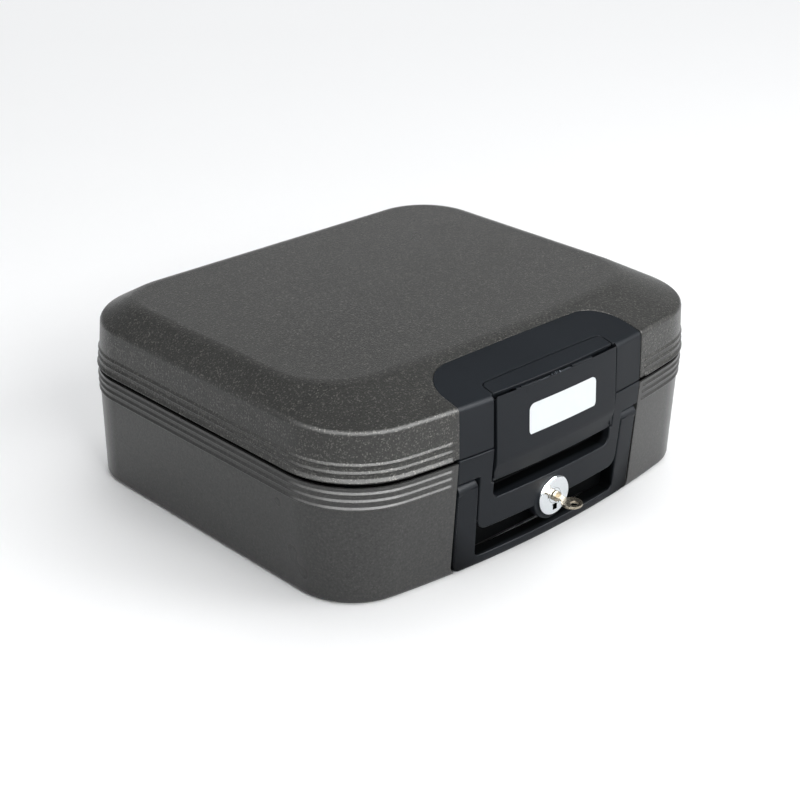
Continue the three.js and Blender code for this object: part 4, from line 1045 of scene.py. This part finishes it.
def black_finish():
    """Black ABS from a spark-eroded mould: fine even grain and a soft sheen, with painted shade that makes
    its deep recesses darker and less shiny.
    """
    material, tree, place = new_finish("fine_grain_black_abs")
    grain = noise(tree, place, 0.9, Detail=2, Roughness=0.5)
    back = spread(tree, coordinate(tree, place, "Y"), RECESS_SHADE_FROM_Y * MM, RECESS_SHADE_TO_Y * MM, 0, 1)
    below = spread(tree, coordinate(tree, place, "Z"), SEAM_Z * MM, RECESS_SHADE_TO_Z * MM, 0, 1)
    # Painted shade: deep in the front recesses the colour goes darker and the shine weaker
    deep = reckoned(tree, "MULTIPLY", back, below)
    add_surface(tree, {
        "Base Color": blend(tree, deep, blend(tree, grain, "0a0d12", "12171c"), "050607"),
        "Roughness": spread(tree, noise(tree, place, 45, Detail=2), 0.3, 0.7, 0.44, 0.52),
        "Specular IOR Level": spread(tree, deep, 0, 1, 0.15, 0.03),
        "Normal": relief(tree, grain, 0.3, 0.08), "IOR": 1.5})
    return material


def tray_finish():
    """Gray polypropylene: smooth, with a faint flow pattern from the mould."""
    material, tree, place = new_finish("smooth_gray_polypropylene")
    flow = noise(tree, place, 18, Detail=3, Distortion=0.6)
    add_surface(tree, {
        "Base Color": blend(tree, flow, "4a4b4d", "58595b"),
        "Roughness": spread(tree, flow, 0.3, 0.7, 0.4, 0.5),
        "Normal": relief(tree, noise(tree, place, 1.1, Detail=2), 0.2, 0.05), "IOR": 1.49})
    return material


def filling_finish():
    """Cast gypsum and cement: pale, dry and pitted."""
    material, tree, place = new_finish("cast_mineral_filling")
    grit = noise(tree, place, 3, Detail=6, Roughness=0.7)
    add_surface(tree, {
        "Base Color": blend(tree, grit, "b3aa98", "d6cfbf"), "Roughness": 0.92,
        "Normal": relief(tree, cells(tree, place, 6, "Distance"), 0.5, 0.6)})
    return material


def seal_finish():
    """Closed-cell EPDM rubber: near black, matt, with a fine skin."""
    material, tree, place = new_finish("epdm_seal_rubber")
    skin = noise(tree, place, 1.4, Detail=4)
    add_surface(tree, {
        "Base Color": blend(tree, skin, "151617", "232426"), "Roughness": 0.8,
        "Normal": relief(tree, skin, 0.4, 0.1)})
    return material


def inside_notch(tree, place):
    """1 below the lock's face and near its axis, where only the notch is seen: where the lock's chrome is
    painted near black as shade.
    """
    off_axis = add_node(tree, "ShaderNodeVectorMath", {"operation": "MULTIPLY"}, {0: place, 1: (1, 0, 1)})
    radius = add_node(tree, "ShaderNodeVectorMath", {"operation": "DISTANCE"}, {
        0: off_axis.outputs["Vector"], 1: (0, 0, LOCK_Z * MM)})
    near = reckoned(tree, "LESS_THAN", radius.outputs["Value"], NOTCH_REACH * MM)
    under = reckoned(tree, "GREATER_THAN", coordinate(tree, place, "Y"), NOTCH_SHADE_Y * MM)
    return reckoned(tree, "MULTIPLY", near, under)


def metal_finish(name, dark, light, grain_mm, stretch, low_rough, high_rough, depth_mm, shade_notch=False):
    """An unplated or plated metal whose fine marks run along Z when stretched; a lock's gets painted shade,
    near black, in its recessed notch.
    """
    material, tree, place = new_finish(name)
    turn = add_node(tree, "ShaderNodeMapping", {}, {"Vector": place, "Scale": (1, 1, stretch)})
    marks = noise(tree, turn.outputs["Vector"], grain_mm, Detail=3)
    colour = blend(tree, marks, dark, light)
    # Painted shade: the lock's recessed notch and bore go near black
    if shade_notch:
        colour = blend(tree, inside_notch(tree, place), colour, "020303")
    add_surface(tree, {
        "Base Color": colour, "Roughness": spread(tree, marks, 0.3, 0.7, low_rough, high_rough),
        "Normal": relief(tree, marks, 0.25, depth_mm), "Metallic": 1})
    return material


def label_finish():
    """Satin white polyester film, left blank, with the faintest mottling."""
    material, tree, place = new_finish("satin_label_film")
    mottle = noise(tree, place, 7, Detail=3)
    add_surface(tree, {
        "Base Color": blend(tree, mottle, "cdd2d4", "d5dadc"),
        "Roughness": spread(tree, mottle, 0.3, 0.7, 0.34, 0.42), "IOR": 1.5})
    return material


# The lid's copy of the graphite paint has a coarser, stronger relief and more sparkle, and darker colours
# than the base's as painted shade
lid_graphite = graphite_finish("coarse_graphite_flake_paint", "2b2b2a", "383836", 1.4, 0.55, 0.34)
base_graphite = graphite_finish("fine_graphite_flake_paint", "333333", "414140", 1.8, 0.12, 0.08)
black_abs = black_finish()
tray_gray = tray_finish()
cast_filling = filling_finish()
seal_rubber = seal_finish()
zinc_steel = metal_finish("zinc_plated_steel", "a9adb0", "c6cacc", 0.8, 0.15, 0.28, 0.4, 0.02)
dark_steel = metal_finish("black_oxide_steel", "26282a", "33363a", 0.8, 1, 0.4, 0.5, 0.02)
lock_chrome = metal_finish("chrome_with_shaded_notch", "d3d7da", "e2e5e7", 1.5, 1, 0.08, 0.14, 0.01, True)
bright_chrome = metal_finish("bright_chrome", "d3d7da", "e2e5e7", 1.5, 1, 0.08, 0.14, 0.01)
key_nickel = metal_finish("worn_nickel", "857c6c", "aaa293", 0.9, 0.4, 0.22, 0.36, 0.02)
label_film = label_finish()

# Pieces that stand for the solids
PIECES = (
    ("base_casing", base_casing, "base", base_graphite, "shell_graphite", ("base_shell",)),
    ("panel_moulding", front_panel, "base", black_abs, "black_plastic", ("front_panel",)),
    ("chrome_lock", lock_housing, "base", lock_chrome, "chrome", ("lock_housing",)),
    ("base_tray", base_tray, "base", tray_gray, "liner_plastic", ("base_liner",)),
    ("lid_seal", seal, "base", seal_rubber, "seal_rubber", ("seal_gasket",)),
    ("handle_moulding", carrying_handle, "handle", black_abs, "black_plastic", ("handle",)),
    ("lid_casing", lid_casing, "lid", lid_graphite, "shell_graphite", ("lid_shell",)),
    ("bezel_moulding", lid_bezel, "lid", black_abs, "black_plastic", ("lid_bezel",)),
    ("cap_strip", cap_strip, "lid", black_abs, "black_plastic", ("latch_cap",)),
    ("lid_tray", lid_tray, "lid", tray_gray, "liner_plastic", ("lid_liner",)),
    ("latch_flap", latch_flap, "latch", black_abs, "black_plastic", ("latch",)),
    ("blank_label", blank_label, "latch", label_film, "label", ("latch_label",)),
    ("chrome_plug", lock_plug, "lock", bright_chrome, "chrome", ("lock_plug",)),
    ("flat_key", flat_key, "key", key_nickel, "key_nickel", ("key",)),
)
for name, make, body, material, slot, nodes in PIECES:
    finished(name, make(), body, material, nodes)

for side, centre_x in (("left", -HINGE_X), ("right", HINGE_X)):
    finished(f"base_leaf_{side}", hinge_leaf(centre_x, False), "base", zinc_steel,
             (f"hinge_base_leaf_{side}",))
    finished(f"lid_leaf_{side}", hinge_leaf(centre_x, True), "lid", zinc_steel,
             (f"hinge_lid_leaf_{side}",))
    finished(f"pin_{side}", hinge_pin(centre_x), "base", zinc_steel, (f"hinge_pin_{side}",))
for number, (x, z, in_lid) in enumerate(HINGE_SCREWS, 1):
    finished(f"leaf_screw_{number}", hinge_screw(x, z), "lid" if in_lid else "base", zinc_steel,
             (f"hinge_screw_{number}",))

# Solids whose own shape is right take a finish
KEPT_SOLIDS = {
    cast_filling: ("base_insulation", "lid_insulation"),
    zinc_steel: ("strike_plate", "strike_screw_1", "strike_screw_2", "lock_nut", "lock_cam", "cam_screw",
                 "handle_pin_left", "handle_pin_right"),
    dark_steel: ("latch_pin", "latch_spring"),
}
for material, nodes in KEPT_SOLIDS.items():
    for name in nodes:
        for material_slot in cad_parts[name].material_slots:
            material_slot.material = material


# Floor, light and camera
FLOOR_REACH = 30
FLOOR_COLOUR = (0.96, 0.963, 0.968, 1)
GLINT_DISTANCE = 2
GLINT_ELEVATION_DEG = 35
GLINT_SIZE = (1.45, 1.6)
HIGH_TARGET = (0, 0, 0.1)
LOW_TARGET = (0, 0, 0.08)
SUN_TOWARDS = (0.34, 0.28, 1)
SUN_ANGLE_DEG = 64
SUN_STRENGTH = 1.56
SKY_COLOUR = (0.97, 0.985, 1, 1)
SKY_STRENGTH = 0.34
CAMERA_PLACE = (-0.8380, -0.8891, 0.6375)
CAMERA_TARGET = (0, 0, 0.0749)
CAMERA_LENS = {"lens": 75.9, "sensor_width": 36, "shift_x": 0.0015, "shift_y": -0.0295}

# Each soft box with its place, what it faces, its width and height, and its power
SOFTBOXES = (
    ("backdrop", (1.9, 2.0, 0.85), HIGH_TARGET, (2.6, 1.3), 3.3),
    ("front_right", (0.95, -1.35, 1.35), LOW_TARGET, (0.9, 0.5), 12),
    ("front_overhead", (-0.35, -1.7, 1.05), LOW_TARGET, (1.1, 0.4), 19),
)
# Each glint panel with its direction in degrees and its power
GLINTS = (
    ("glint_left", -190, 30),
    ("glint_front_left", -148, 70),
    ("glint_front", -106, 54),
    ("glint_right", -64, 75),
)


def facing(place, target):
    """The turn that points a lamp or a camera at its target."""
    return (Vector(target) - Vector(place)).to_track_quat("-Z", "Y").to_euler()


def stand_in_floor():
    bm = bmesh.new()
    bmesh.ops.create_grid(bm, x_segments=1, y_segments=1, size=FLOOR_REACH)
    floor = placed("floor", meshed("floor", bm))
    material, tree, _ = new_finish("pale_paper")
    add_surface(tree, {"Color": FLOOR_COLOUR}, "ShaderNodeBsdfDiffuse")
    floor.data.materials.append(material)


def softbox(name, place, target, size, power):
    light = bpy.data.lights.new(name, "AREA")
    light.shape = "RECTANGLE"
    light.size, light.size_y = size
    light.energy = power
    lamp = placed(name, light)
    lamp.location = place
    lamp.rotation_euler = facing(place, target)
    return lamp


def glint_panel(name, azimuth_deg, power):
    """A tall panel that is only seen mirrored: it draws the thin bright lines along edges and ribs."""
    turn = math.radians(azimuth_deg)
    lift = math.radians(GLINT_ELEVATION_DEG)
    reach = GLINT_DISTANCE * math.cos(lift)
    place = (reach * math.cos(turn), reach * math.sin(turn), GLINT_DISTANCE * math.sin(lift))
    lamp = softbox(name, place, HIGH_TARGET, GLINT_SIZE, power)
    lamp.visible_diffuse = False
    lamp.visible_camera = False


def soft_sun(name):
    """An even light from a wide patch of sky; it lights the whole floor alike and leaves no glint."""
    light = bpy.data.lights.new(name, "SUN")
    light.angle = math.radians(SUN_ANGLE_DEG)
    light.energy = SUN_STRENGTH
    lamp = placed(name, light)
    lamp.rotation_euler = Vector(SUN_TOWARDS).to_track_quat("Z", "Y").to_euler()
    lamp.visible_glossy = False


stand_in_floor()
soft_sun("overhead_back")
for row in SOFTBOXES:
    softbox(*row)
for row in GLINTS:
    glint_panel(*row)

world = bpy.data.worlds.new("studio")
bpy.context.scene.world = world
world.use_nodes = True
sky = world.node_tree.nodes["Background"].inputs
sky["Color"].default_value = SKY_COLOUR
sky["Strength"].default_value = SKY_STRENGTH
bpy.context.scene.view_settings.view_transform = "Standard"

camera = placed("photograph_view", bpy.data.cameras.new("photograph_view"))
for setting, value in CAMERA_LENS.items():
    setattr(camera.data, setting, value)
camera.location = CAMERA_PLACE
camera.rotation_euler = facing(CAMERA_PLACE, CAMERA_TARGET)
bpy.context.scene.camera = camera
